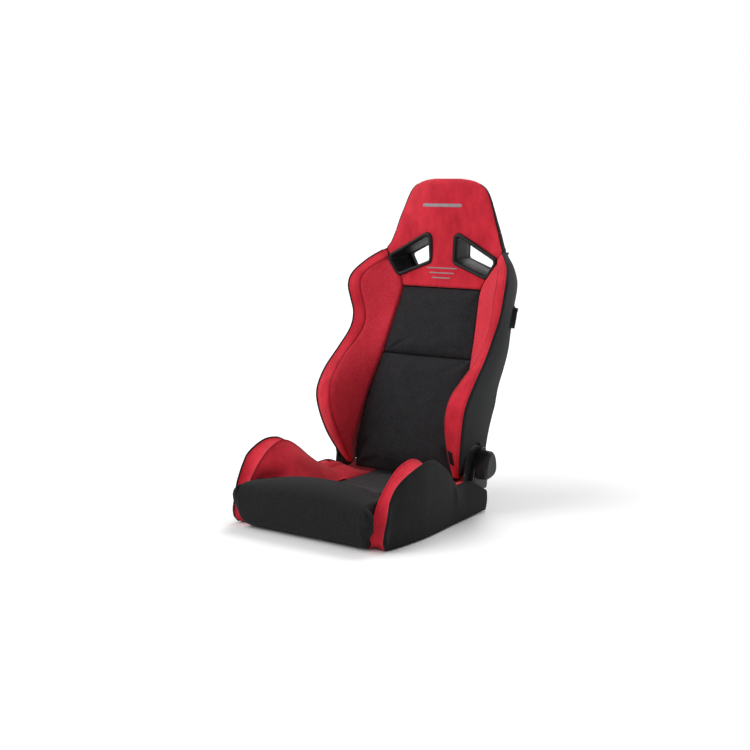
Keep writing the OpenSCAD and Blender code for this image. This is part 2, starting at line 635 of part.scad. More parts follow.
recline_dial();
sync_shaft();
back_side_plate(1);  // back_side_plate_left
back_side_plate(-1);  // back_side_plate_right
back_tube(1);  // back_tube_left
back_tube(-1);  // back_tube_right
back_cross_tube();
lumbar_cross_bar();
back_spring_mat();
head_stay();
head_pad();
wing(1);  // wing_left
wing(-1);  // wing_right
back_pad_upper();
back_pad_lower();
side_panel(1);  // side_panel_left
side_panel(-1);  // side_panel_right
rear_panel();
neck_rear_cover();
head_rear_cover();
belt_guide(1);  // belt_guide_left
belt_guide(-1);  // belt_guide_right
belt_bezel_rear(1);  // belt_bezel_rear_left
belt_bezel_rear(-1);  // belt_bezel_rear_right
lever_base(1);  // lever_base_left
lever_base(-1);  // lever_base_right
lever_pin(1);  // lever_pin_left
lever_pin(-1);  // lever_pin_right
fold_lever(1);  // fold_lever_left
fold_lever(-1);  // fold_lever_right
side_tag();
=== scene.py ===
"""Racing seat: the upholstery, trim and finishes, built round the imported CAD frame.

Shapes are in millimetres in the CAD frame and become metres when a mesh is made. What comes in pairs is
made on the +X side (the sitter's left) and mirrored for the other side.
"""
import json
from math import atan2, cos, exp, pi, radians, sin, sqrt

import bmesh
import bpy
import numpy as np
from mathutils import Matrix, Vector
from numpy import array, column_stack, linspace, vstack
from numpy.linalg import norm


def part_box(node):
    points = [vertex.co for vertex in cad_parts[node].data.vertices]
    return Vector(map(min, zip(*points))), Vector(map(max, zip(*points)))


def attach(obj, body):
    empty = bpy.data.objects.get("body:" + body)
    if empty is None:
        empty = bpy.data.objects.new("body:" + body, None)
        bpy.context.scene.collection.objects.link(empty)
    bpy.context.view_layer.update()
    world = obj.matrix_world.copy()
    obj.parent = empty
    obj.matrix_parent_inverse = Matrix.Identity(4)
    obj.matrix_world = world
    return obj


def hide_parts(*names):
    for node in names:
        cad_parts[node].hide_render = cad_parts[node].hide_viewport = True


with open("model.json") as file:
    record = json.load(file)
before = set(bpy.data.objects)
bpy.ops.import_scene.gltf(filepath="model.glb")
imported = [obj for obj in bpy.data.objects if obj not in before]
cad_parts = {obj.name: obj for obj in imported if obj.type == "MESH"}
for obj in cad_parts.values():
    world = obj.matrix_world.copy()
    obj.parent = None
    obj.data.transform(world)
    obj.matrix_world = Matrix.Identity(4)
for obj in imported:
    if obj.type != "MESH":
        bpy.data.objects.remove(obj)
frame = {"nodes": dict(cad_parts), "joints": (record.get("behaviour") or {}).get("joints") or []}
scene = bpy.context.scene
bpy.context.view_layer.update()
MM = 0.001
LEFT, RIGHT = 1, -1
SIDES = (LEFT, RIGHT)
WORD = {LEFT: "left", RIGHT: "right"}
BACK, BASE = "backrest", "seat_base"  # the two bodies that carry the upholstery

# ---- places taken from the frame
RECLINE = next(j for j in frame["joints"] if j["name"] == "back_recline")
PIVOT_Y = RECLINE["pos_m"][1] / MM
PIVOT_Z = RECLINE["pos_m"][2] / MM
NOMINAL_HALF = 284.1  # half width of the seat that the curves below were drawn for
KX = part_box("side_panel_left")[1][0] / MM / NOMINAL_HALF
SKIN = 4.0  # thickness of the black outer panels
GAP = 0.5  # room between a panel and the one beside it
BACK_FOAM = 44.0  # from the face of the back pads to their rear
BEAD = 2.3  # radius of the piping
TRIM_FOOT = 96  # lowest height of the backrest's trim, at SLANT_Y
SLANT_Y = 150  # depth at which a slanted ring has its own height
PLATE_ROOM = [(170, 150), (205, 107), (300, 205), (360, 400), (322, 400), (255, 245)]
ARM_ROOM = (0, 227, 67)  # drum round the recline axis that the cushion leaves free
BASE_ROOM = ((0, -245, -5), (226.5, 400, 47))  # the steel seat base, with a little room
BACK_HEEL, CUSHION_HEEL = 63, 68.5  # radius of the back pad round the axis, and of the dip under it

# ---- curves of the backrest
# Each row is a height, a distance from the middle and a depth.
INNER_EDGE = [(96, 184, 174), (150, 190, 187), (237, 186, 215), (307, 181, 242), (379, 169, 272),
    (430, 161, 293), (522, 152, 330), (612, 142, 367), (640, 147, 377), (662, 157, 381), (713, 194, 381),
    (738, 209, 387)]
SEAM = [(96, 180, 170), (150, 185, 141), (217, 193, 109), (264, 200, 91), (308, 206, 86), (350, 213, 101),
    (385, 221, 137), (428, 228, 194), (464, 225, 244), (501, 222, 280), (535, 224, 295), (576, 231, 295),
    (616, 239, 290), (650, 241, 296), (680, 228, 325), (713, 198, 374), (738, 209.5, 386)]
PIPING = [(96, 209, 169), (150, 225, 143), (210, 244, 118), (284, 262, 101), (330, 269, 107),
    (386, 271, 147), (451, 265, 217), (500, 259, 262), (545, 264, 284), (592, 276, 284), (630, 283, 283),
    (665, 279, 300), (701, 257, 339), (722, 233, 364), (738, 210, 388)]
REAR_CORNER = [(96, 214, 290), (194, 219, 304), (297, 224, 330), (349, 225, 346), (399, 226, 374),
    (450, 226, 399), (502, 226, 412), (572, 227, 427), (640, 227, 446), (680, 222, 440), (716, 212, 424),
    (738, 204, 418)]
# Each row is a height and a depth, or a height and a half width.
PAD_FACE = [(96, 174), (165, 191), (237, 215), (307, 242), (427, 292), (624, 372), (700, 384), (760, 388)]
REAR_FACE = [(96, 292), (150, 300), (246, 325), (349, 362), (450, 408), (572, 440), (650, 462), (720, 469),
    (800, 466), (870, 456), (925, 436), (945, 424), (952, 414)]
HEAD_HALF = [(626, 140), (662, 157), (713, 194), (738, 209), (756, 200), (793, 186), (830, 173), (867, 159),
    (903, 144), (922, 131), (936, 111), (946, 82), (951, 44), (952, 30)]
HEAD_FACE = [(626, 374), (660, 379), (700, 384), (760, 388), (820, 383), (862, 377), (905, 380), (935, 388),
    (952, 402)]
HEAD_EDGE = [(626, 374), (662, 381), (713, 381), (738, 387), (756, 395), (793, 402), (830, 405), (867, 411),
    (903, 415), (925, 416), (945, 412), (952, 407)]
NECK_Z = 738  # height of the shoulders, where the wings meet the head
PAD_SPLIT_Z = 426  # the tuck between the two back pads
HEAD_FOOT_Z = 625  # the tuck between the upper back pad and the head pad

# ---- curves of the cushion
# Stations along a thigh bolster from the rear over its top and down its front. Each has the foot of
# its inner face, its seam and its piping, as distance from the middle, depth and height.
BOLSTER = [
    ((132, 76, 77), (212, 76, 104), (250, 76, 109)),
    ((131, 45, 77), (217, 40, 123), (255, 47, 134)),
    ((131, 10, 78), (220, 5, 147), (262, 13, 162)),
    ((131, -40, 85), (222, -40, 181), (270, -43, 194)),
    ((133, -75, 95), (224, -82, 205), (274, -80, 209)),
    ((142, -122, 108), (223, -123, 210), (278, -131, 208)),
    ((165, -158, 120), (221, -175, 193), (272, -201, 185)),
    ((200, -192, 124), (221, -218, 161), (264, -234, 160)),
    ((213, -215, 118), (220, -244, 134), (261, -254, 132)),
    ((216, -230, 108), (220, -261, 112), (262, -263, 110)),
    ((218, -252, 85), (220, -275, 86), (262, -271, 80)),
    ((212, -260, 52), (216, -287, 50), (260, -280, 48)),
    ((204, -259, 25), (209, -287, 22), (258, -280, 22)),
    ((202, -247, 6), (207, -273, 4), (254, -267, 4)),
]
BOLSTER_CORE = [(215, 76, 62), (205, 10, 62), (200, -80, 70), (205, -170, 70), (215, -225, 62),
    (222, -250, 50), (225, -256, 30), (225, -255, 8)]
HIP_EDGE = [(250, 76, 109), (251, 122, 111), (252, 155, 105), (251, 200, 84), (251, 244, 62)]
SKIRT_TAIL = [(250, 122, 111), (250, 155, 105), (248, 200, 84), (248, 244, 62)]
SKIRT_FOOT = [(256, -279, 30), (256, -273, 14), (254, -264, 3), (262, -224, 3), (269, -107, 3),
    (256, 72, 3), (246, 244, 3)]


# ---- small mathematics
def curve(t, table, column=1, key=0):
    """Smooth curve through a column of a table whose key column rises, at t."""
    rows = array(table, float)
    x, y = rows[:, key], rows[:, column]
    slope = np.empty_like(y)
    slope[1:-1] = (y[2:] - y[:-2]) / (x[2:] - x[:-2])
    slope[0] = (y[1] - y[0]) / (x[1] - x[0])
    slope[-1] = (y[-1] - y[-2]) / (x[-1] - x[-2])
    t = np.clip(t, x[0], x[-1])
    i = np.clip(np.searchsorted(x, t, side="right") - 1, 0, len(x) - 2)
    h = x[i + 1] - x[i]
    s = (t - x[i]) / h
    return ((1 + 2 * s) * (1 - s) ** 2 * y[i] + s * (1 - s) ** 2 * h * slope[i]
            + s * s * (3 - 2 * s) * y[i + 1] + s * s * (s - 1) * h * slope[i + 1])


def at(z, table):
    """Distance from the middle and depth of a backrest curve at height z."""
    return array([KX * curve(z, table, 1), curve(z, table, 2)])


def travelled(points):
    """Length along a line at each of its points."""
    return np.append(0, np.cumsum(norm(np.diff(points, axis=0), axis=1)))


def spline(points, count):
    """Points spaced evenly along a smooth curve through a list of points."""
    points = array(points, float)
    chord = travelled(points)
    fine = linspace(0, chord[-1], 12 * count)
    dense = column_stack([curve(fine, column_stack([chord, column])) for column in points.T])
    length = travelled(dense)
    even = linspace(0, length[-1], count)
    return column_stack([np.interp(even, length, column) for column in dense.T])


def smoothstep(low, high, value):
    """From 0 at low to 1 at high; low may be the larger."""
    t = np.clip((value - low) / (high - low), 0, 1)
    return t * t * (3 - 2 * t)


def roll(distance, radius):
    """How far a rounded edge of that radius falls away at a distance from its end."""
    d = np.clip(distance, 0, radius)
    return radius - np.sqrt(np.maximum(radius ** 2 - (radius - d) ** 2, 0))


def units(rows):
    """Rows of vectors at length 1."""
    return rows / np.maximum(norm(rows, axis=1), 1e-9)[:, None]


def facing(a, b):
    """Unit vector out of the visible face of a section's line from a to b."""
    along = b - a
    return array([along[1], -along[0]]) / max(norm(along), 0.01)


def eased(count):
    """Values from 0 to 1 that stand closer at both ends."""
    return 0.5 - 0.5 * np.cos(linspace(0, pi, count))


def raised(a, b, count, bulge, out, puff_a, puff_b):
    """A sewn panel from a to b, raised along a direction by a bulge in the middle and at each end by a
    puff, which is a height and a reach."""
    length = max(norm(b - a), 0.01)
    t = eased(count)
    height = bulge * np.sin(pi * t)
    height = height + puff_a[0] * (1 - np.exp(-t * length / puff_a[1])) * (1 - t)
    height = height + puff_b[0] * (1 - np.exp(-(1 - t) * length / puff_b[1])) * t
    return a + t[:, None] * (b - a) + height[:, None] * out


def bowed(a, b, count, bulge, puff_a=(0, 1), puff_b=(0, 1)):
    """A sewn panel in a flat section, raised out of its visible face."""
    return raised(a, b, count, bulge, facing(a, b), puff_a, puff_b)


def spaced(low, high, step, fine_at=(), fine=1.5, reach=9):
    """Values from low to high about a step apart, and closer near the seams in fine_at."""
    values = list(linspace(low, high, max(2, round((high - low) / step) + 1)))
    for centre in fine_at:
        values += list(np.arange(centre - reach, centre + reach + fine / 2, fine))
    values = np.unique(np.round([v for v in values if low <= v <= high], 3))
    keep = [values[0]]
    for v in values[1:]:
        if v - keep[-1] > 0.4 * fine:
            keep.append(v)
    return array(keep)


# ---- meshes
def linked(name, data):
    """A new object of the scene."""
    obj = bpy.data.objects.new(name, data)
    scene.collection.objects.link(obj)
    return obj


def new_object(name, vertices, faces):
    """A mesh object from points in millimetres."""
    mesh = bpy.data.meshes.new(name)
    mesh.from_pydata([tuple(v) for v in array(vertices, float) * MM], [], faces)
    mesh.validate()
    obj = linked(name, mesh)
    work = bmesh.new()
    work.from_mesh(mesh)
    bmesh.ops.remove_doubles(work, verts=work.verts, dist=0.00002)
    bmesh.ops.recalc_face_normals(work, faces=work.faces)
    work.to_mesh(mesh)
    work.free()
    mesh.shade_smooth()
    return obj


def wrapped(rows, n, base=0):
    """Faces round a tube of rows of n points, the first of which has the number base."""
    return [(base + k * n + i, base + k * n + (i + 1) % n, base + (k + 1) * n + (i + 1) % n,
             base + (k + 1) * n + i) for k in range(rows - 1) for i in range(n)]


def loft(name, rings, closed_ends=True, shell=False):
    """A solid through rings of equal length. Fans close its ends, or in a shell, whose rings run out on
    one side and back on the other, strips."""
    rings = array(rings, float)
    m, n = rings.shape[:2]
    vertices = list(rings.reshape(-1, 3))
    faces = wrapped(m, n)
    if shell:
        faces += [(k * n + i, k * n + i + 1, k * n + n - 2 - i, k * n + n - 1 - i)
                  for k in (0, m - 1) for i in range(n // 2 - 1)]
    elif closed_ends:
        for k in (0, m - 1):
            centre = len(vertices)
            vertices.append(rings[k].mean(0))
            faces += [(k * n + i, k * n + (i + 1) % n, centre) for i in range(n)]
    return new_object(name, vertices, faces)


def tube(name, path, radius, sides=8):
    """A bead or thread along a path."""
    path = array(path, float)
    tangent = units(np.gradient(path, axis=0))
    normal = np.cross(tangent[0], (0.3, 0.2, 1.0))
    angles = 2 * pi * np.arange(sides)[:, None] / sides
    rings = []
    for p, t in zip(path, tangent):
        normal = normal - t * normal.dot(t)
        normal = normal / norm(normal)
        rings.append(p + radius * (np.cos(angles) * normal + np.sin(angles) * np.cross(t, normal)))
    return loft(name, rings)


def mirrored(points, side):
    """Points made for the +X side, or their mirror images."""
    points = array(points, float)
    points[..., 0] *= side
    return points


def put(obj, body, material, replaces=()):
    """Gives a finished piece its material and body, and hides the parts of the frame that it replaces."""
    obj.data.materials.clear()
    obj.data.materials.append(material)
    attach(obj, body)
    if replaces:
        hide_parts(*replaces)
    return obj


def cut(obj, *cutters):
    """Subtracts closed meshes from a piece and takes the cutters away."""
    for cutter in cutters:
        modifier = obj.modifiers.new("cut", "BOOLEAN")
        modifier.operation = "DIFFERENCE"
        modifier.object = cutter
        modifier.solver = "EXACT"
        applied(obj)
        bpy.data.objects.remove(cutter)
    obj.data.shade_smooth()


def applied(obj):
    """Applies every modifier of an object."""
    seen = obj.evaluated_get(bpy.context.evaluated_depsgraph_get())
    mesh = bpy.data.meshes.new_from_object(seen)
    obj.modifiers.clear()
    old, obj.data = obj.data, mesh
    bpy.data.meshes.remove(old)


def x_drum(x0, x1, radius, sides=64):
    """A closed cylinder round the recline axis, for cutting."""
    angles = 2 * pi * np.arange(sides) / sides
    ring = list(zip(PIVOT_Y + radius * np.cos(angles), PIVOT_Z + radius * np.sin(angles)))
    return loft("drum", [[(x, y, z) for y, z in ring] for x in (x0, x1)])


def block(low, high):
    """A closed box, for cutting."""
    (x0, y0, z0), (x1, y1, z1) = low, high
    return loft("block", [[(x0, y0, z), (x1, y0, z), (x1, y1, z), (x0, y1, z)] for z in (z0, z1)])


def offset_line(rings, column, distance):
    """Line across the rings of a loft, at a distance along each ring from one of its columns."""
    line = []
    for ring in rings:
        walk = np.roll(ring, -column, 0) if distance > 0 else np.roll(ring, -column - 1, 0)[::-1]
        line.append([np.interp(abs(distance), travelled(walk), part) for part in walk.T])
    return array(line)


def stitches(name, path, pitch=4.6, length=3.3, radius=0.5, sides=5):
    """A row of short threads along a path that lies on the cloth."""
    points = spline(path, max(3, int(travelled(path)[-1] / pitch)))
    tangent = units(np.gradient(points, axis=0))
    side = units(np.cross(tangent, (0.37, 0.21, 0.9)))
    other = np.cross(tangent, side)
    profile = [(-0.5, 0.25), (-0.36, 0.85), (0, 1.0), (0.36, 0.85), (0.5, 0.25)]
    angles = 2 * pi * np.arange(sides) / sides
    vertices, faces = [], []
    for p, t, s, o in list(zip(points, tangent, side, other))[1:-1]:
        base = len(vertices)
        end = base + (len(profile) - 1) * sides
        vertices += [p + t * along * length + radius * size * (cos(a) * s + sin(a) * o)
                     for along, size in profile for a in angles]
        faces += wrapped(len(profile), sides, base)
        faces += [tuple(range(base, base + sides)), tuple(range(end, end + sides))]
    return new_object(name, vertices, faces)


# ---- materials
def srgb(r, g, b):
    """Scene-linear colour from 8-bit display values."""
    return [((v / 255 + 0.055) / 1.055) ** 2.4 if v > 10 else v / 255 / 12.92 for v in (r, g, b)] + [1]


class Finish:
    """A node material under construction, in object coordinates in metres."""

    def __init__(self, name, roughness, metallic=0.0, sheen=0.0, sheen_tint=(1, 1, 1, 1), specular=0.5):
        self.material = bpy.data.materials.new(name)
        self.material.use_nodes = True
        self.tree = self.material.node_tree
        self.shader = self.tree.nodes["Principled BSDF"]
        for socket, value in (("Roughness", roughness), ("Metallic", metallic), ("Sheen Weight", sheen),
                              ("Sheen Tint", sheen_tint), ("Specular IOR Level", specular)):
            self.shader.inputs[socket].default_value = value
        self.where = self.node("TexCoord").outputs["Object"]

    def node(self, kind, inputs={}, **settings):
        made = self.tree.nodes.new("ShaderNode" + kind)
        for key, value in settings.items():
            setattr(made, key, value)
        for key, value in inputs.items():
            if isinstance(value, bpy.types.NodeSocket):
                self.tree.links.new(value, made.inputs[key])
            else:
                made.inputs[key].default_value = value
        return made

    def stretched(self, x, y, z):
        return self.node("Mapping", {"Vector": self.where, "Scale": (x, y, z)}).outputs[0]

    def noise(self, period, detail=2.0, where=None, rough=0.5):
        """Noise with features about a period (metres) across."""
        return self.node("TexNoise", {"Vector": where or self.where, "Scale": 1 / period,
                                      "Detail": detail, "Roughness": rough}).outputs[0]

    def cells(self, period, where=None):
        made = self.node("TexVoronoi", {"Vector": where or self.where, "Scale": 1 / period,
                                        "Randomness": 0.85})
        return made.outputs["Distance"]

    def maths(self, operation, a, b=0.0):
        return self.node("Math", {0: a, 1: b}, operation=operation).outputs[0]

    def mixed(self, a, b):
        return self.maths("ADD", self.maths("MULTIPLY", a, 0.6), self.maths("MULTIPLY", b, 0.4))

    def ramp(self, factor, *stops):
        """Colours along a factor; each stop is a position and an 8-bit display colour."""
        made = self.node("ValToRGB", {"Fac": factor})
        for element, (position, colour) in zip(made.color_ramp.elements, stops):
            element.position = position
            element.color = srgb(*colour)
        return made.outputs["Color"]

    def spread(self, factor, low, high):
        """A factor from 0 to 1 turned into values from low to high."""
        return self.node("MapRange", {"Value": factor, "To Min": low, "To Max": high}).outputs[0]

    def done(self, colour, *bumps, roughness=None):
        """The material; each bump is a height, a distance in metres and a strength."""
        links = {"Base Color": colour}
        if roughness is not None:
            links["Roughness"] = roughness
        for height, distance, strength in bumps:
            inputs = {"Height": height, "Distance": distance, "Strength": strength}
            if "Normal" in links:
                inputs["Normal"] = links["Normal"]
            links["Normal"] = self.node("Bump", inputs).outputs["Normal"]
        for socket, value in links.items():
            self.tree.links.new(value, self.shader.inputs[socket])
        return self.material


COOL = (0.8, 0.85, 0.9, 1)  # tint of the sheen on black cloth


def suede(name, light, dark):
    """Brushed microfibre: a short nap that lies in soft patches, with fine fibres."""
    f = Finish(name, roughness=0.9, sheen=0.25, sheen_tint=(1.0, 0.4, 0.4, 1), specular=0.15)
    patches = f.noise(0.045, 3, f.stretched(1, 1, 0.55), 0.6)
    fibres = f.noise(0.0016, 4, None, 0.7)
    colour = f.ramp(f.mixed(patches, fibres), (0.32, dark), (0.66, light))
    return f.done(colour, (f.noise(0.02, 2), 0.0006, 0.5), (fibres, 0.00035, 0.8))


def mesh_cloth(name, light, dark, period, depth):
    """Spacer mesh: staggered round cells in a knit."""
    f = Finish(name, roughness=0.82, sheen=0.05, sheen_tint=COOL, specular=0.2)
    height = f.maths("SUBTRACT", 1.0, f.cells(period, f.stretched(1, 1, 0.8)))
    relief = f.maths("MULTIPLY", height, height)
    ramp = f.ramp(relief, (0.25, dark), (0.8, light))
    worn = f.maths("MULTIPLY", f.noise(0.03, 3), 0.5)
    colour = f.node("Mix", {0: worn, 6: ramp, 7: srgb(*light)}, data_type="RGBA").outputs[2]
    return f.done(colour, (f.noise(0.035, 2), 0.0008, 0.5), (relief, depth, 0.9))


def woven(name, light, dark, period, depth):
    """Fine woven cloth: short staggered yarns with slubs, in two directions."""
    f = Finish(name, roughness=0.85, sheen=0.05, sheen_tint=COOL, specular=0.2)
    warp = f.cells(period, f.stretched(1, 1, 0.45))
    weft = f.cells(period, f.stretched(0.45, 0.45, 1))
    slubs = f.noise(0.006, 4, f.stretched(1, 1, 0.3))
    yarns = f.maths("SUBTRACT", 1.0, f.maths("MINIMUM", warp, weft))
    relief = f.mixed(yarns, slubs)
    colour = f.ramp(relief, (0.45, dark), (0.85, light))
    return f.done(colour, (f.noise(0.05, 2), 0.001, 0.5), (relief, depth, 0.8))


def moulded(name, light, dark, roughness, grain=0.0011):
    """Moulded plastic with a leather-like grain and rubbed patches."""
    f = Finish(name, roughness=roughness, specular=0.32)
    patches = f.noise(0.02, 3)
    colour = f.ramp(patches, (0.35, dark), (0.7, light))
    return f.done(colour, (f.cells(grain), 0.00012, 0.7),
                  roughness=f.spread(patches, roughness - 0.07, roughness + 0.1))


def metal(name, light, dark, roughness, metallic, speck):
    """Painted or plated steel with fine orange peel and small marks."""
    f = Finish(name, roughness=roughness, metallic=metallic)
    colour = f.ramp(f.noise(0.012, 5, None, 0.65), (0.35, dark), (0.65, light))
    marks = f.spread(f.noise(0.03, 6, None, 0.7), roughness - 0.08, roughness + 0.12)
    return f.done(colour, (f.noise(speck, 3), 0.00012, 0.5), roughness=marks)


def thread(name, light, dark, period=0.0011, sheen=0.02):
    """Twisted sewing or embroidery thread."""
    f = Finish(name, roughness=0.65, sheen=sheen, specular=0.25)
    twist = f.node("TexWave", {"Vector": f.where, "Scale": 2 * pi / 20 / period, "Distortion": 0.6},
                   wave_type="BANDS", bands_direction="DIAGONAL").outputs[1]
    return f.done(f.ramp(twist, (0.1, dark), (0.8, light)), (twist, 0.0002, 0.9))


RED = suede("red_suede", (222, 50, 66), (176, 26, 44))
RED_MESH = mesh_cloth("red_mesh", (240, 68, 84), (198, 38, 54), 0.0036, 0.0006)
RED_THREAD = thread("red_thread", (140, 20, 34), (84, 8, 16))
BLACK_MESH = mesh_cloth("black_mesh", (50, 51, 54), (20, 21, 23), 0.003, 0.0006)
INSERT_KNIT = mesh_cloth("insert_knit", (76, 76, 79), (30, 30, 32), 0.0036, 0.0008)
SIDE_CLOTH = woven("side_cloth", (36, 36, 38), (17, 17, 18), 0.0019, 0.00025)
BLACK_THREAD = thread("black_thread", (46, 46, 48), (16, 16, 17))
GREY_THREAD = thread("grey_thread", (176, 170, 174), (112, 106, 110), 0.0016, 0.2)
PLASTIC = moulded("black_plastic", (34, 35, 36), (20, 20, 21), 0.42)
PLASTIC_RIM = moulded("rim_plastic", (28, 29, 30), (17, 17, 18), 0.5, 0.0009)
# Light grey plastic for the bead on the recliner cover's rim: a painted highlight, which stands for the
# light caught on the rounded edge.
PAINTED_HIGHLIGHT_PLASTIC = moulded("edge_plastic", (112, 114, 116), (84, 86, 88), 0.35, 0.0009)
DIAL_FACE = moulded("dial_plastic", (48, 49, 51), (36, 36, 38), 0.5, 0.0014)
PAINTED = metal("painted_steel", (112, 114, 117), (84, 86, 89), 0.42, 0.35, 0.0012)
# Near black steel for the recliner plates and the lower bracket: painted shade, which stands for the shade
# beside the recliner in place of their grey paint.
PAINTED_SHADE_STEEL = metal("dark_painted_steel", (38, 39, 41), (26, 26, 28), 0.5, 0.1, 0.0012)
ZINC = metal("zinc_steel", (190, 192, 196), (140, 143, 148), 0.32, 0.95, 0.0006)

SLOT = {finish: slot for slot, finishes in {
    "red_suede": (RED, RED_THREAD, GREY_THREAD), "side_cloth": (SIDE_CLOTH, BLACK_THREAD),
    "black_mesh": (BLACK_MESH,), "insert_knit": (INSERT_KNIT,),
    "black_plastic": (PLASTIC, PLASTIC_RIM, PAINTED_HIGHLIGHT_PLASTIC, DIAL_FACE)}.items() for finish in finishes}


def piece(name, node, rings, side, body, material, cutters=(), fill=None, **ends):
    """One of a pair of pieces, from rings made for the +X side, less its cutters."""
    obj = flip(loft(name + WORD[side], rings, **ends), side)
    cut(obj, *[flip(cutter, side) for cutter in cutters])
    return put(obj, body, material, [node + WORD[side]])


def bead_row(name, points, side, body, material=SIDE_CLOTH, radius=BEAD, sides=8):
    """A bead along points made for the +X side."""
    put(tube(name + WORD[side], mirrored(points, side), radius, sides), body, material)


def stitch_row(name, points, side, body, material):
    """A row of stitches along points made for the +X side."""
    put(stitches(name + WORD[side], mirrored(points, side)), body, material)


# ---- camera, lights and floor
camera_data = bpy.data.cameras.new("camera")
camera_data.lens = 63.0
camera_data.sensor_width = 36
camera = linked("camera", camera_data)
camera.location = (2.1433, -2.9494, 0.9697)
camera.rotation_euler = (radians(90 - 8.785), 0, radians(35.667))
scene.camera = camera
scene.view_settings.view_transform = "Standard"


def soft_sun(name, come_from, energy, spread):
    """A wide, even studio light from a direction; spread is in degrees."""
    data = bpy.data.lights.new(name, "SUN")
    data.energy = energy
    data.angle = radians(spread)
    linked(name, data).rotation_euler = (-Vector(come_from)).to_track_quat("-Z", "Y").to_euler()


soft_sun("key", (-1.7, -1.5, 2.2), 1.45, 50)
soft_sun("back", (-0.2, 1.9, 2.4), 1.5, 34)
soft_sun("top", (0, 0, 1), 0.6, 80)
world = bpy.data.worlds.new("world")
scene.world = world
world.use_nodes = True
sky = world.node_tree
sky.nodes["Background"].inputs[0].default_value = (1, 1, 1, 1)
rays = sky.nodes.new("ShaderNodeLightPath")
strength = sky.nodes.new("ShaderNodeMapRange")
strength.inputs["To Min"].default_value = 0.36  # light that the room gives
strength.inputs["To Max"].default_value = 1.0  # white where the room itself is seen
sky.links.new(rays.outputs["Is Camera Ray"], strength.inputs["Value"])
sky.links.new(strength.outputs[0], sky.nodes["Background"].inputs[1])

FLOOR_HALF, FLOOR_Z = 60000, -0.6
floor = new_object("floor", [(x * FLOOR_HALF, y * FLOOR_HALF, FLOOR_Z)
                             for x, y in ((-1, -1), (1, -1), (1, 1), (-1, 1))], [(0, 1, 2, 3)])
pale = Finish("floor_paper", roughness=0.9, specular=0.1)
floor.data.materials.append(pale.done(pale.ramp(pale.noise(0.4, 3), (0.3, (250, 250, 250)),
                                                (0.7, (254, 254, 254)))))


# ---- backrest: sections
def sunk(point, depth, *faces):
    """A seam's place, pulled in between the two panels that face out there."""
    out = sum(faces)
    return point - depth * out / max(norm(out), 0.01)


def slant(z):
    """How steeply the trim's ring of height z rises to the rear; it fades over the lowest 200 mm."""
    return 0.374 * max(0, 1 - (z - TRIM_FOOT) / 200)


def trim_ring(z, section):
    """Ring of the backrest's trim through a flat section."""
    return column_stack([section, z + slant(z) * (section[:, 1] - SLANT_Y)])


def shrunk(ring, amount):
    """A ring drawn in towards its middle by about an amount."""
    middle = ring.mean(0)
    size = norm(ring - middle, axis=1).mean()
    return middle + (ring - middle) * max(0.05, 1 - amount / size)


WING_PANEL, WING_BAND = 26, 16  # points across the inner panel and across the rim band
THIGH_PANEL = 24  # points across the inner face of a thigh bolster
HEAD_BOTTOM = HEAD_FOOT_Z + 1
HALF_INSERT, INSERT_FRONT = 129, -123.5  # half width of the cushion insert, and its front edge


def side_bulge(z):
    """How far the side panels swell out, down to nothing at the shoulders."""
    return 7 * smoothstep(742, 700, z)


def wing_section(z):
    a = at(z, INNER_EDGE) + (GAP, 0)
    s = at(z, SEAM)
    p = at(z, PIPING) - (SKIN + GAP, 0)
    r = at(z, REAR_CORNER)
    size = min(1, norm(s - a) / 18)
    seam_place = sunk(s, 3.2 * size, facing(a, s), facing(s, p))
    edge = a + facing(a, s) * -2.5 * size
    full = smoothstep(430, 340, z)  # how full the crest is: most at the height of the ribs
    panel = bowed(edge, seam_place, WING_PANEL, (full * 3 - 5) * size, (3 * size, 4),
                  ((3.0 + 3 * full) * size, 3 + 5 * full))
    band = bowed(seam_place, p, WING_BAND, 3 * size, (3.2 * size, 3), (1.5 * size, 2.5))
    back = min(curve(z, PAD_FACE) + BACK_FOAM, curve(z, REAR_FACE) - 30)
    q = linspace(0, 1, 6)[1:] * np.clip((back - p[1]) / (r[1] - p[1]), 0.05, 1)
    outer = column_stack([p[0] + (r[0] - SKIN - GAP - p[0]) * q + side_bulge(z) * np.sin(np.pi * q),
                             p[1] + (r[1] - p[1]) * q])
    return vstack([[(a[0], back)], panel[:-1], band, outer])


def side_line(z, count, inset):
    """A side panel's section at a height, from its piping to the rear corner."""
    return bowed(at(z, PIPING), at(z, REAR_CORNER), count, side_bulge(z), (1.5, 3), (1.5, 3)) - (inset, 0)


def recliner_room():
    """Cutters for the space round the recliner that the backrest's trim leaves free."""
    return [x_drum(199, 225, 44), x_drum(204, 210, 55), x_drum(224, 330, 57)]


def flip(obj, side):
    """Mirrors a finished mesh across the middle of the seat for the -X side."""
    if side == RIGHT:
        obj.data.transform(((-1, 0, 0, 0), (0, 1, 0, 0), (0, 0, 1, 0), (0, 0, 0, 1)))
        obj.data.flip_normals()
    return obj


# ---- belt slots
SLOT_FRONT = [(39, 802), (34, 698), (159, 651), (203, 715)]
SLOT_REAR = [(46, 776), (44, 713), (138, 679), (160, 719)]


def rounded_quad(corners, radius, inset, steps=7):
    """Outline in X and Z inside a four-cornered one, with round corners; all have as many points."""
    corners = array(corners, float)
    points = []
    for i in range(4):
        edges = corners[i] - corners[i - 1], corners[(i + 1) % 4] - corners[i]
        inward = [array([-d[1], d[0]]) / norm(d) for d in edges]
        reach = (radius + inset) / (1 + inward[0].dot(inward[1]))
        centre = corners[i] + (inward[0] + inward[1]) * reach
        first = atan2(-inward[0][1], -inward[0][0])
        last = atan2(-inward[1][1], -inward[1][0])
        while last < first:
            last += 2 * pi
        points += [centre + radius * array([cos(a), sin(a)]) for a in linspace(first, last, steps)]
    return array(points)


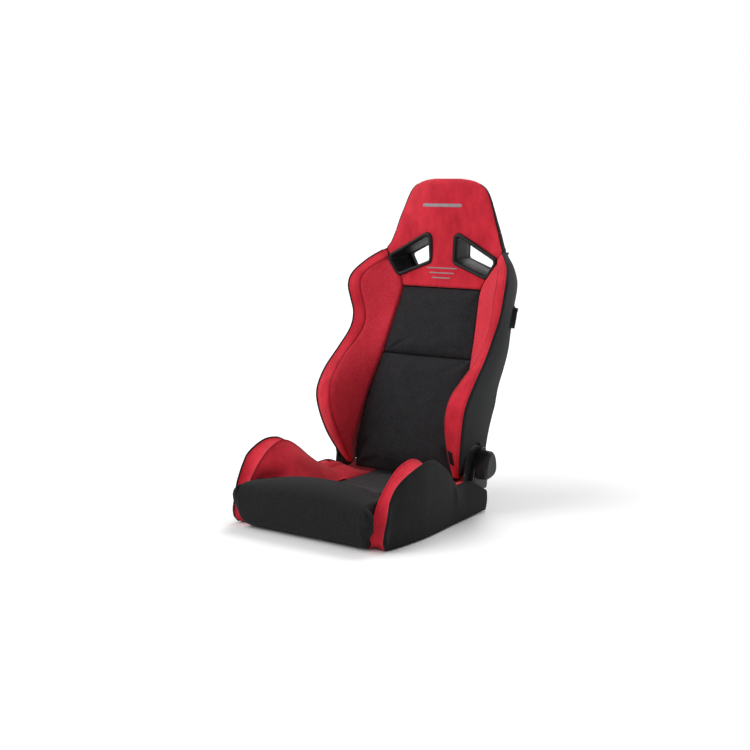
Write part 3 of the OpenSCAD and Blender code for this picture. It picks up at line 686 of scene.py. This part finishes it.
def slot_outline(corners, radius, inset, y, tilt=0.0):
    """A rounded quad at depth y; tilt brings its outer end forward."""
    flat = rounded_quad(corners, radius, inset)
    return column_stack([flat[:, 0], y - tilt * (flat[:, 0] - 43), flat[:, 1]])


def slot_room(slack=0.0):
    """Cutter for a belt slot's tunnel with the room for its front rim."""
    return loft("slot", [slot_outline(SLOT_FRONT, 13, 4 - slack, 330),
                         slot_outline(SLOT_FRONT, 13, 4 - slack, 392),
                         slot_outline(SLOT_REAR, 9, -1.5 - slack, 500)])


# ---- backrest: wings and side panels
TRIM_HEIGHTS = np.concatenate([linspace(97, 700, 88), linspace(704, 735.5, 10)])


def wing_finish(x, y, z):
    """Material slot of a place on a wing: 1 for the mesh inside of the seam, 2 for the black cloth, which
    is behind the head and behind the piping at the foot, or 0 for the red band."""
    level = z - slant(z) * (y - SLANT_Y)
    seam_x = at(level, SEAM)[0]
    if abs(x) < seam_x - 1.0 and level < 700:
        return 1
    behind_head = level > 731 or level > 640 and y > 396
    behind_foot = level < 420 and y > at(level, PIPING)[1] + 5 and abs(x) > seam_x + 9
    return 2 if behind_head or behind_foot else 0


def make_wing(side):
    rings = [trim_ring(z, wing_section(z)) for z in TRIM_HEIGHTS]
    body = [shrunk(rings[0], 9) - (0, 0, 2)] + [shrunk(rings[0], 4) - (0, 0, 0.5)] + rings
    body.append(shrunk(rings[-1], 2) + (0, 0, 1.5))
    plate = loft("plate_room", [[(x, y, z) for y, z in PLATE_ROOM] for x in (199, 202.5)])
    room = [*recliner_room(), plate, slot_room(1)]
    wing = piece("wing_cover_", "wing_", body, side, BACK, RED, room, 0.9)
    wing.data.materials.append(RED_MESH)
    wing.data.materials.append(SIDE_CLOTH)
    for face in wing.data.polygons:
        face.material_index = wing_finish(*(array(face.center) / MM))
    edge = WING_PANEL + WING_BAND - 2
    bead_row("wing_seam_", [ring[WING_PANEL] for ring in rings[1:-3]], side, BACK, RED_THREAD, 0.9, 6)
    stitch_row("wing_stitch_band_", offset_line(rings[1:-4], WING_PANEL, 4.5), side, BACK, RED_THREAD)
    stitch_row("wing_seam_edge_", offset_line(rings[1:-6], edge, -7), side, BACK, RED_THREAD)
    bead_row("wing_piping_", array([ring[edge] for ring in rings[:-1]]) + (2.6, -0.6, 0), side, BACK)


def make_side_panel(side):
    count = 34  # points across the panel
    rings = [trim_ring(z, vstack([side_line(z, count, 0), side_line(z, count, SKIN)[::-1]]))
             for z in np.append(TRIM_HEIGHTS, (736.8, 737.8))]
    piece("side_cover_", "side_panel_", rings, side, BACK, SIDE_CLOTH, recliner_room(), shell=True)
    for name, column, distance in (("side_seam_front_", 0, 6), ("side_seam_rear_", count - 1, -6)):
        line = offset_line(rings[2:-6], column, distance) + (0.2, 0, 0)
        stitch_row(name, line, side, BACK, BLACK_THREAD)


for side in SIDES:
    make_wing(side)
    make_side_panel(side)


# ---- backrest: centre pads
def level_ring(outline, z):
    """A flat outline at a height."""
    return np.insert(outline, 2, z, axis=1)


def pad_ring(z, crown, low, high, count=61):
    """Ring of a centre pad between two tucks, with its front from one edge to the other."""
    w = curve(z, INNER_EDGE) - 1.2
    u = np.sin(linspace(-pi / 2, pi / 2, count))
    x = KX * w * u
    front = curve(z, PAD_FACE) + 3 - crown * (1 - np.abs(u) ** 3)
    inside = (1 - np.abs(u)) * w
    front = front + roll(inside, 7) + 2 * np.exp(-inside / 3) + roll(z - low, 8) + roll(high - z, 8)
    heel = sqrt(max(BACK_HEEL ** 2 - (PIVOT_Z - z) ** 2, 0)) if z < PIVOT_Z else 500
    front = np.clip(front, PIVOT_Y - heel + 3 * (x / 190) ** 2, PIVOT_Y + heel)
    back = min(curve(z, PAD_FACE) + BACK_FOAM, PIVOT_Y + heel)
    return level_ring(vstack([column_stack([x, front]), [(x[-1], back), (x[0], back)]]), z)


CLOTH_STEP, CLOTH_FRAMES = 4.5, 20  # size of the cloth's squares, and length of the simulation


def points_of(obj):
    """The places of a mesh's points, in metres."""
    flat = np.empty(len(obj.data.vertices) * 3)
    obj.data.vertices.foreach_get("co", flat)
    return flat.reshape(-1, 3)


def puffed(obj, held, freedom, cap=5.0):
    """Blows a pad up as cloth and keeps what it gains, up to a cap. Points that held() picks stay, and
    freedom is how much of the movement along X, Y and Z is kept."""
    even = obj.modifiers.new("even", "REMESH")
    even.mode = "VOXEL"
    even.voxel_size = CLOTH_STEP * MM
    applied(obj)
    start = points_of(obj)
    pin = obj.vertex_groups.new(name="pin")
    pin.add([int(i) for i in np.nonzero(held(start / MM))[0]], 1.0, "REPLACE")
    cloth = obj.modifiers.new("cloth", "CLOTH")
    cloth.settings.use_pressure = True
    cloth.settings.uniform_pressure_force = 4.0
    cloth.settings.vertex_group_mass = "pin"
    cloth.settings.effector_weights.gravity = 0
    for number in range(1, CLOTH_FRAMES + 1):
        scene.frame_set(number)
    applied(obj)
    scene.frame_set(1)
    move = (points_of(obj) - start) * freedom
    size = norm(move, axis=1) / MM
    move *= (np.minimum(size, cap) / np.maximum(size, 1e-9))[:, None]
    obj.data.vertices.foreach_set("co", (start + move).ravel())
    obj.modifiers.new("soft", "SMOOTH").iterations = 2
    obj.modifiers.new("fine", "SUBSURF").levels = 1
    applied(obj)
    obj.data.shade_smooth()
    return obj


def pad_heights(low, high):
    return spaced(low, high, 6, (low, high), 1.2, 10)


SPLIT = PAD_SPLIT_Z + 1  # foot of the upper pad
upper = [pad_ring(z, 10 * smoothstep(424, 450, z) * smoothstep(628, 600, z), SPLIT, HEAD_FOOT_Z - 1)
         for z in pad_heights(SPLIT, HEAD_FOOT_Z - 1)]
lower = [pad_ring(z, 12 * smoothstep(90, 160, z) * smoothstep(428, 396, z), 84, PAD_SPLIT_Z)
         for z in np.concatenate([linspace(86, 110, 12), pad_heights(116, PAD_SPLIT_Z)])]
for name, rings in (("back_pad_upper", upper), ("back_pad_lower", lower)):
    pad = puffed(loft(name + "_cover", rings), lambda p: p[:, 1] > curve(p[:, 2], PAD_FACE) + 16,
                 (0.1, 1, 0.2))
    if rings is lower:
        cut(pad, x_drum(-320, 320, 12))
    put(pad, BACK, BLACK_MESH, [name])

# ---- backrest: head pad
SLOT_SEAMS = [((172, 702), (203, 726)), ((128, 664), (146, 640)), ((146, 640), (140, 627))]


def crease(x, z, depth, reach):
    """Depth of the sewn creases of the head pad at a place on its front."""
    total = np.zeros_like(x)
    for a, b in array(SLOT_SEAMS, float):
        along = b - a
        t = np.clip(((np.abs(x) - a[0]) * along[0] + (z - a[1]) * along[1]) / along.dot(along), 0, 1)
        gap = np.hypot(np.abs(x) - a[0] - t * along[0], z - a[1] - t * along[1])
        total = np.maximum(total, depth * np.exp(-gap / reach))
    return total


def head_side(z):
    return 26 - 18 * (z - NECK_Z) / 190


def head_face_y(x, z):
    """Depth of the head pad's front at a distance from the middle and a height."""
    w = KX * (curve(z, HEAD_HALF) - 1.5)
    u = np.minimum(np.abs(x) / w, 1)
    middle, edge = curve(z, HEAD_FACE), curve(z, HEAD_EDGE)
    return middle + (edge - middle) * u ** 2.4


def head_ring(z, count=141):
    w = KX * (curve(z, HEAD_HALF) - 1.5)
    u = np.sin(linspace(-pi / 2, pi / 2, count) * 0.999)
    x = w * u
    front = head_face_y(x, z) + roll((1 - np.abs(u)) * w, 6) * (1 if z > NECK_Z else 0.6)
    front = front + crease(x, z, 4, 3.2) + roll(z - HEAD_BOTTOM, 8)
    edge = front[-1]
    if z < NECK_Z:
        half = [(w - 3, edge + 14), (0.93 * w, edge + 26), (0.85 * w, edge + 34), (0.5 * w, edge + 36)]
    else:
        low = max(min(curve(z, REAR_FACE) - SKIN - 1.5, 470), edge + 1)
        half = [(w - 4, edge + 1), (w - 6.5, edge + max(2, head_side(z) - 7)),
                (w * 0.7, edge + 0.5 * (low - edge)), (w * 0.4, low - 7)]
    behind = half + [(-p[0], p[1]) for p in reversed(half)]
    return level_ring(vstack([column_stack([x, front]), behind]), z)


head_levels = np.concatenate([spaced(HEAD_BOTTOM, 900, 3.2, (HEAD_BOTTOM,), 1.2, 8),
                              np.arange(902, 944, 2), [944.5, 946.5, 948, 949.2, 950.1, 950.6]])
head = loft("head_pad_cover", [head_ring(z) for z in head_levels])
cut(head, slot_room(), flip(slot_room(), RIGHT), block((-26, 416, 600), (26, 432, 870)))
put(head, BACK, RED, ["head_pad"])


def head_cover_ring(z, count=33):
    """Ring of the black shell behind the head, from one edge round to the other."""
    def outline(thick):
        w = KX * curve(z, HEAD_HALF) - thick
        edge = curve(z, HEAD_EDGE)
        m = curve(z, REAR_FACE) - thick
        d = max(edge + 3, edge + head_side(z) - thick)
        half = [(w, edge + 1 + thick / 4), (w - 2, d), (w * 0.93, d + 0.2 * (m - d)),
                (w * 0.75, d + 0.62 * (m - d)), (w * 0.45, d + 0.93 * (m - d)), (0, m)]
        return spline(half + [(-p[0], p[1]) for p in half[-2::-1]], 2 * count)
    return level_ring(vstack([outline(0), outline(SKIN)[::-1]]), z)


neck = loft("neck_cover", [head_cover_ring(z) for z in linspace(738.2, 793, 20)], shell=True)
crown = loft("head_cover", [head_cover_ring(z) for z in linspace(794, 935, 44)], shell=True)
BEZEL_X, BEZEL_Y = 45, 469  # a place in the plane of the rear bezels
BEZEL_TURN = radians(-9)


def leaned(rim, depth):
    """A rim in the plane of the rear bezel, at a distance behind it."""
    x = rim[:, 0] - BEZEL_X
    c, s = cos(BEZEL_TURN), sin(BEZEL_TURN)
    return column_stack([BEZEL_X + x * c - depth * s, BEZEL_Y + x * s + depth * c, rim[:, 2]])


def open_slots(obj):
    """Cuts the belt slots and the seats of their bezels out of a rear cover."""
    rim = slot_outline(SLOT_REAR, 14, -8.6, 0)
    for room in (slot_room, lambda _: loft("bezel_room", [leaned(rim, depth) for depth in (-6.5, 9)])):
        cut(obj, room(1), flip(room(1), RIGHT))


open_slots(neck)
put(neck, BACK, SIDE_CLOTH, ["neck_rear_cover"])
put(crown, BACK, SIDE_CLOTH, ["head_rear_cover"])


def sewn_bar(name, half, z, tall):
    """A bar with round ends sewn to the head pad's front: a stripe, or the plain bar above them."""
    rings = []
    for x in linspace(-half, half, 60):
        end = sqrt(max(1 - max(0, (abs(x) - half + 0.5 * tall) / (0.5 * tall)) ** 2, 0.01))
        angle = 2 * pi * np.arange(12) / 12
        height = z + 0.5 * tall * end * np.cos(angle)
        y = head_face_y(x, height) + 0.6 - 1.6 * end * np.maximum(np.sin(angle), -0.5)
        rings.append(np.insert(column_stack([y, height]), 0, x, axis=1))
    return loft(name, rings)


for bar in (("head_stripe_1", 55, 684, 4), ("head_stripe_2", 44, 669.5, 4), ("head_stripe_3", 33, 655, 4),
            ("head_bar", 70, 872, 11)):
    put(sewn_bar(*bar), BACK, GREY_THREAD)


# ---- backrest: rear
def rear_ring(z, count=49):
    c = at(z, REAR_CORNER)
    m = curve(z, REAR_FACE)
    u = linspace(-1, 1, count)
    w = c[0] - 1.5
    outer = column_stack([w * u, m + (c[1] - m) * np.abs(u) ** 3])
    outer[:, 1] -= roll((1 - np.abs(u)) * w, 5)
    inner = column_stack([(w - 2.4) * u, m - SKIN + (c[1] - m) * np.abs(u) ** 3])
    return trim_ring(z, vstack([outer, inner[::-1]]))


rear = loft("rear_cover", [rear_ring(z) for z in linspace(97.5, 737, 96)], shell=True)
open_slots(rear)
put(rear, BACK, SIDE_CLOTH, ["rear_panel"])
for side in SIDES:
    bead = [trim_ring(z, array([at(z, REAR_CORNER) + (-1.2, 0.3)]))[0] for z in linspace(98, 732, 90)]
    bead_row("rear_piping_", bead, side, BACK)

# ---- backrest: belt slots
# Each row is an inset and a depth, or a distance behind the bezel's plane.
GUIDE_RIM = [(0.6, 397), (0.0, 391), (0.2, 386.5), (1.4, 382.8), (3.6, 380.2), (6.4, 379.2), (9.4, 380.2),
    (11.8, 383.0), (13.0, 388)]
BEZEL_RIM = [(-7.4, -2), (-8, 0), (-7.4, 2.2), (-5.5, 3.6), (-3.0, 4.2), (-0.5, 3.6), (1.4, 1.6),
    (2.2, -1.5), (2.4, -5), (0.4, -5)]


def between(first, last, steps):
    return [first + (last - first) * t for t in steps]


guide = [slot_outline(SLOT_FRONT, 18 - 0.7 * inset, inset, y, 0.05 * (400 - y) / 20)
         for inset, y in GUIDE_RIM]
guide += between(slot_outline(SLOT_FRONT, 8, 13.4, 393), slot_outline(SLOT_REAR, 8, 1.5, 466),
                 (0, 0.06, 0.35, 0.7, 1.0))
guide += between(slot_outline(SLOT_FRONT, 9, 7.5, 396), slot_outline(SLOT_REAR, 8, -0.6, 466),
                 (1.0, 0.5, 0.0))
bezel = [leaned(slot_outline(SLOT_REAR, 9.6 - 0.55 * inset, inset, 0), depth) for inset, depth in BEZEL_RIM]
for side in SIDES:
    for name, node, rim in (("belt_guide_rim_", "belt_guide_", guide),
                            ("belt_bezel_rim_", "belt_bezel_rear_", bezel)):
        piece(name, node, rim + rim[:1], side, BACK, PLASTIC_RIM, closed_ends=False)

# ---- cushion
STATIONS = 110
INSERT_TOP = [(-124, 110), (-80, 97), (-20, 83), (30, 77), (110, 76), (160, 76), (205, 78.5), (222, 81),
    (236, 86), (248, 93.7)]
LIP_Y = 248  # the cushion's lip, turned up behind the heel of the back pad


def over_heel(y):
    """Height of the cushion under the heel of the backrest, clear of everything that turns."""
    return PIVOT_Z - sqrt(max(CUSHION_HEEL ** 2 - (y - PIVOT_Y) ** 2, 0))


def bolster_lines():
    """The four lines along a thigh bolster: inner foot, seam, piping and core, from rear to front."""
    dense = spline([np.hstack(row) for row in BOLSTER], STATIONS)
    return dense[:, 0:3], dense[:, 3:6], dense[:, 6:9], spline(BOLSTER_CORE, STATIONS)


def across(a, b, forward):
    """Unit vector out of the face between two lines that run forward."""
    out = np.cross(b - a, forward)
    return out / max(norm(out), 1e-6)


def make_bolster(side):
    foot, seam, piping, core = bolster_lines()
    edges = piping - (SKIN + 1, 0, 0.6)
    rings = []
    for a, s, p, c, forward in zip(foot, seam, edges, core, np.gradient(seam, axis=0)):
        out_panel, out_band = across(a, s, forward), across(s, p, forward)
        size = min(1, norm(s - a) / 20)
        s = sunk(s, 2.4 * size, out_panel, out_band)
        panel = raised(a, s, THIGH_PANEL, -4 * size, out_panel, (2.4 * size, 4), (2.4 * size, 3))
        band = raised(s, p, 16, 7, out_band, (2.4 * size, 3), (3.2, 3))
        lower = array([p - (2, 0, 12 * min(1, (p[2] - 5) / 60)), c + (14, 0, 0), c])
        rings.append(vstack([panel[:-1], band, lower]))
    closed = [shrunk(rings[0], 5) + (0, 1.5, 0)] + rings + [shrunk(rings[-1], 2)]
    room = [block(*BASE_ROOM), x_drum(*ARM_ROOM)]
    piece("thigh_bolster_cover_", "thigh_bolster_", closed, side, BASE, RED, room, 0.9)
    for name, distance in (("thigh_seam_inner_", -4.5), ("thigh_seam_band_", 4.5)):
        stitch_row(name, offset_line(rings[3:-22], THIGH_PANEL - 1, distance), side, BASE, RED_THREAD)
    bead_row("thigh_piping_", edges + (2.8, -0.2, 1.4), side, BASE)


def make_skirt(side):
    rings = []
    for p in vstack([spline(SKIRT_TAIL, 26)[::-1][:-1], bolster_lines()[2]]):
        depth = p[1]
        f = array([curve(depth, SKIRT_FOOT, 0, 1), depth, min(curve(depth, SKIRT_FOOT, 2, 1), p[2] - 2)])
        reach = norm(p - f)
        t = eased(30)
        swell = 3 * np.sin(pi * t) + 1.6 * (1 - np.exp(-t * reach / 3)) * (1 - t)
        ridge = 5 * exp(-((depth - 70) / 16) ** 2) * np.exp(-((t - 0.25) / 0.35) ** 2)
        outer = p + t[:, None] * (f - p)
        outer[:, 0] += swell + ridge * smoothstep(0, 0.2, t)
        inner = outer - (SKIN, 0, 0)
        inner[:, 2] -= 1.2 * (1 - t)
        rings.append(vstack([outer, inner[::-1]]))
    piece("side_skirt_cover_", "side_skirt_", rings, side, BASE, SIDE_CLOTH, shell=True)
    stitch_row("skirt_seam_", offset_line(rings[:-8], 0, 6) + (0.2, 0, 0), side, BASE, BLACK_THREAD)


def make_hip_pad(side):
    rings = []
    front, inner_x, low = 77.5, 131, 44
    for y in spaced(front, LIP_Y, 5, (front,), 1.4, 8):
        p = array([curve(y, HIP_EDGE, 0, 1) - SKIN - 1, curve(y, HIP_EDGE, 2, 1) - 3])
        middle = array([205, min(94, over_heel(y))])
        p[1] = max(p[1], over_heel(y)) if y > PIVOT_Y else p[1]
        full = 3 * smoothstep(190, 150, y)
        inner = bowed(array([inner_x, curve(y, INSERT_TOP) - 3]), middle, 14, -full, (-full, 5), (0, 1))
        outer = bowed(middle, p, 10, -3, (0, 1), (-2, 4))
        top = vstack([inner[:-1], outer]) - (0, roll(y - front, 8))
        line = vstack([top, [(p[0], low), (inner_x, low)]])
        rings.append(np.insert(line, 1, y, axis=1))
    room = [x_drum(*ARM_ROOM), block((224, 118, -1), (246.5, 318, 240)), block(*BASE_ROOM)]
    piece("hip_pad_cover_", "hip_pad_", rings, side, BASE, RED, room, 0.85)


for side in SIDES:
    make_bolster(side)
    make_skirt(side)
    make_hip_pad(side)


NOSE_HALF = 238


def nose_rear(x):
    x = abs(x)
    over_insert = -125 - 92 * (max(0, min(x, 216) - 122) / 94) ** 1.3
    return over_insert + (-294 - over_insert) * smoothstep(213, 219, x)


def nose_ring(x, count=64):
    e = roll(NOSE_HALF - abs(x), 16)
    r = nose_rear(x) - 0.5
    top = 147 - 23 * (x / 216) ** 2 - 0.9 * e - 12 * smoothstep(205, NOSE_HALF, abs(x))
    f = -320 + 0.9 * e
    d = r - f
    rise = 8 * (abs(x) - 126) / 90 if abs(x) > 126 else 0
    lip = min(112 - e + rise, top - 6)
    points = [(r - 1, 60), (r, lip - 14), (r - 0.02 * d, lip - 4), (r - 0.08 * d, lip + 3),
              (f + 0.74 * d, max(top - 8, lip + 4)), (f + 0.5 * d, top - 1), (f + 0.32 * d, top),
              (f + 0.16 * d, 0.95 * top), (f + 0.05 * d, 0.82 * top), (f, 88), (f + 4, 50),
              (f + min(20, 0.7 * d), 16), (f + min(42, 0.9 * d), 3)]
    line = spline(points, count)
    seam_at = 219 - 12 * np.sin(pi * np.clip((line[:, 1] - 10) / 140, 0, 1))
    along = np.gradient(line, axis=0)
    sunk_by = 1.8 * np.exp(-np.abs(abs(x) - seam_at) / 2.2) * (line[:, 0] < r - 12)
    line = line + sunk_by[:, None] * units(column_stack([along[:, 1], -along[:, 0]]))
    line = vstack([line, [(r - 1, 3), (r - 1, 30)]])
    low = 3 + 52 * smoothstep(204, NOSE_HALF + 3, abs(x))
    line[:, 1] = low + (line[:, 1] - 3) * (top - low) / (top - 3)
    return np.insert(line, 0, KX * x, axis=1)


ends = np.append(np.arange(172, 206, 1.4), [206, 209, 212, 214, 216, 218, 220, 223, 226, 229, 231, 233,
                                            235, 236.6, 237.6, NOSE_HALF])
nose_at = np.unique(np.concatenate([linspace(-172, 172, 60), ends, -ends]))
nose = loft("nose_pad_cover", [nose_ring(x) for x in nose_at])
cut(nose, block((-226.5, -245, -5), (226.5, 60, 47)))
put(nose, BASE, SIDE_CLOTH, ["nose_pad"])

insert_rings = []
for x in spaced(-HALF_INSERT, HALF_INSERT, 5, (-HALF_INSERT, HALF_INSERT), 1.5, 8):
    depths = spaced(INSERT_FRONT, LIP_Y, 6, (INSERT_FRONT,), 1.5, 8)
    top = curve(depths, INSERT_TOP) + 3 * (1 - (x / HALF_INSERT) ** 4) * smoothstep(190, 150, depths)
    top = top - roll(HALF_INSERT - abs(x), 6) - roll(depths - INSERT_FRONT, 7)
    line = list(zip(depths, top)) + [(y, 47) for y in depths[::-1]]
    insert_rings.append([(KX * x, y, z) for y, z in line])
insert = puffed(loft("cushion_insert_cover", insert_rings, shell=True),
                lambda p: (p[:, 2] < 56) | (p[:, 1] > 120), (0.1, 0.2, 1), cap=3)
put(insert, BASE, INSERT_KNIT, ["cushion_insert"])


# ---- recliner, dial and levers
def stepped(name, outline, profile, side=LEFT):
    """A moulding along X: rings of an outline at pairs of a distance and an amount drawn in."""
    return flip(loft(name, [np.insert(outline(shrink), 0, x, axis=1) for x, shrink in profile]), side)


COVER_EDGE = [(256, 92), (259, 118), (258, 140), (254, 166), (245, 184), (234, 189), (221, 184), (207, 170),
    (192, 146), (180, 120), (172, 92)]


def arch(shrink):
    """Outline of the recliner cover in Y and Z: a foot that narrows to a top leaning to the rear."""
    points = vstack([spline(COVER_EDGE, 46), [(170, 74), (174, 66), (250, 66), (254, 74)]])
    middle = array([216, 122])
    return middle + (points - middle) * (1 - shrink / 50)


for side in SIDES:
    shell = [(231.2, 3.5), (231.2, 0.3), (233, 0), (240, 0), (242.6, 0.5), (244.4, 2.0), (245.2, 4.5)]
    cover = stepped("recliner_shell_" + WORD[side], arch, shell, side)
    cut(cover, stepped("room", arch, [(229, 4.5), (242.6, 4.5)], side))
    if side == LEFT:
        cut(cover, x_drum(230, 250, 7))
    cover.data.set_sharp_from_angle(angle=radians(50))
    put(cover, BASE, PLASTIC, ["recliner_cover_" + WORD[side]])
    # A light grey bead along the cover's rear rim: painted highlight for the light that the rounded edge
    # catches.
    edge = [(244.6, y, z) for y, z in spline(COVER_EDGE[4:], 60)]
    bead_row("recliner_edge_", edge, side, BASE, PAINTED_HIGHLIGHT_PLASTIC, 1.0)


# Edge of the dial round its axis, as distances to the rear and up: a grip with three blunt corners
DIAL_EDGE = [(0, 40), (8, 39), (18, 31), (26, 17), (30, 0), (30, -17), (21, -31), (6, -37), (-12, -40),
    (-24, -40), (-30, -34), (-31, -18), (-28, 0), (-20, 20), (-10, 36), (0, 40)]


def dial_outline(shrink):
    """Outline of the dial in Y and Z."""
    return spline(DIAL_EDGE, 73)[:-1] * (1 - shrink / 38) + (PIVOT_Y, PIVOT_Z)


dial = stepped("recline_dial_grip", dial_outline,
               [(249.2, 9), (249.2, 5), (252, 3.5), (252.6, 0.6), (254, 0), (281, 0.6), (284.5, 1.6),
                (287, 4.2), (288, 8)])
cut(dial, x_drum(248, 269, 6.1))
dial.data.set_sharp_from_angle(angle=radians(60))
put(dial, "dial", PLASTIC, ["recline_dial"])
face = stepped("recline_dial_face", dial_outline, [(287.2, 6.5), (288.3, 6.8), (288.8, 8.5), (288.6, 16),
                                                   (288.2, 26)])
put(face, "dial", DIAL_FACE)

# ---- woven tag sewn to the left wing's band
TAG_RISE = [(6, 0.3), (6.6, 2.0), (9, 2.8), (13, 3.0), (17, 2.6), (20.6, 1.8), (21.2, 0.2)]
tag_rings = []
for z in linspace(156, 201, 24):
    front_row, back_row = [], []
    for distance, lift in TAG_RISE:
        level = z - 0.5 * (distance - 6)
        out = np.append(facing(at(level, SEAM), at(level, PIPING)), 0)
        place = offset_line([trim_ring(level, wing_section(level))], WING_PANEL, distance)[0]
        front_row.append(place + out * lift)
        back_row.append(place - out * 0.5)
    tag_rings.append(front_row + back_row[::-1])
put(loft("side_tag_cloth", tag_rings, shell=True), BACK, SIDE_CLOTH, ["side_tag"])

# ---- finishes of the frame's own parts
KEPT = {PAINTED: ("side_rail", "cross_tube", "seat_pan", "back_tube", "lumbar_cross_bar", "head_stay"),
        # the plates and the lower bracket take the near black steel, painted shade, in place of their grey
        # paint
        PAINTED_SHADE_STEEL: ("lower_bracket", "hinge_plate", "back_side_plate"),
        ZINC: ("mount_nuts", "bracket_bolts", "recliner_disc", "sync_shaft", "spring_mat", "lever_pin"),
        PLASTIC: ("lever_base",), PLASTIC_RIM: ("fold_lever",)}
for name, obj in frame["nodes"].items():
    for finish, words in KEPT.items():
        if any(word in name for word in words):
            obj.data.materials.clear()
            obj.data.materials.append(finish)
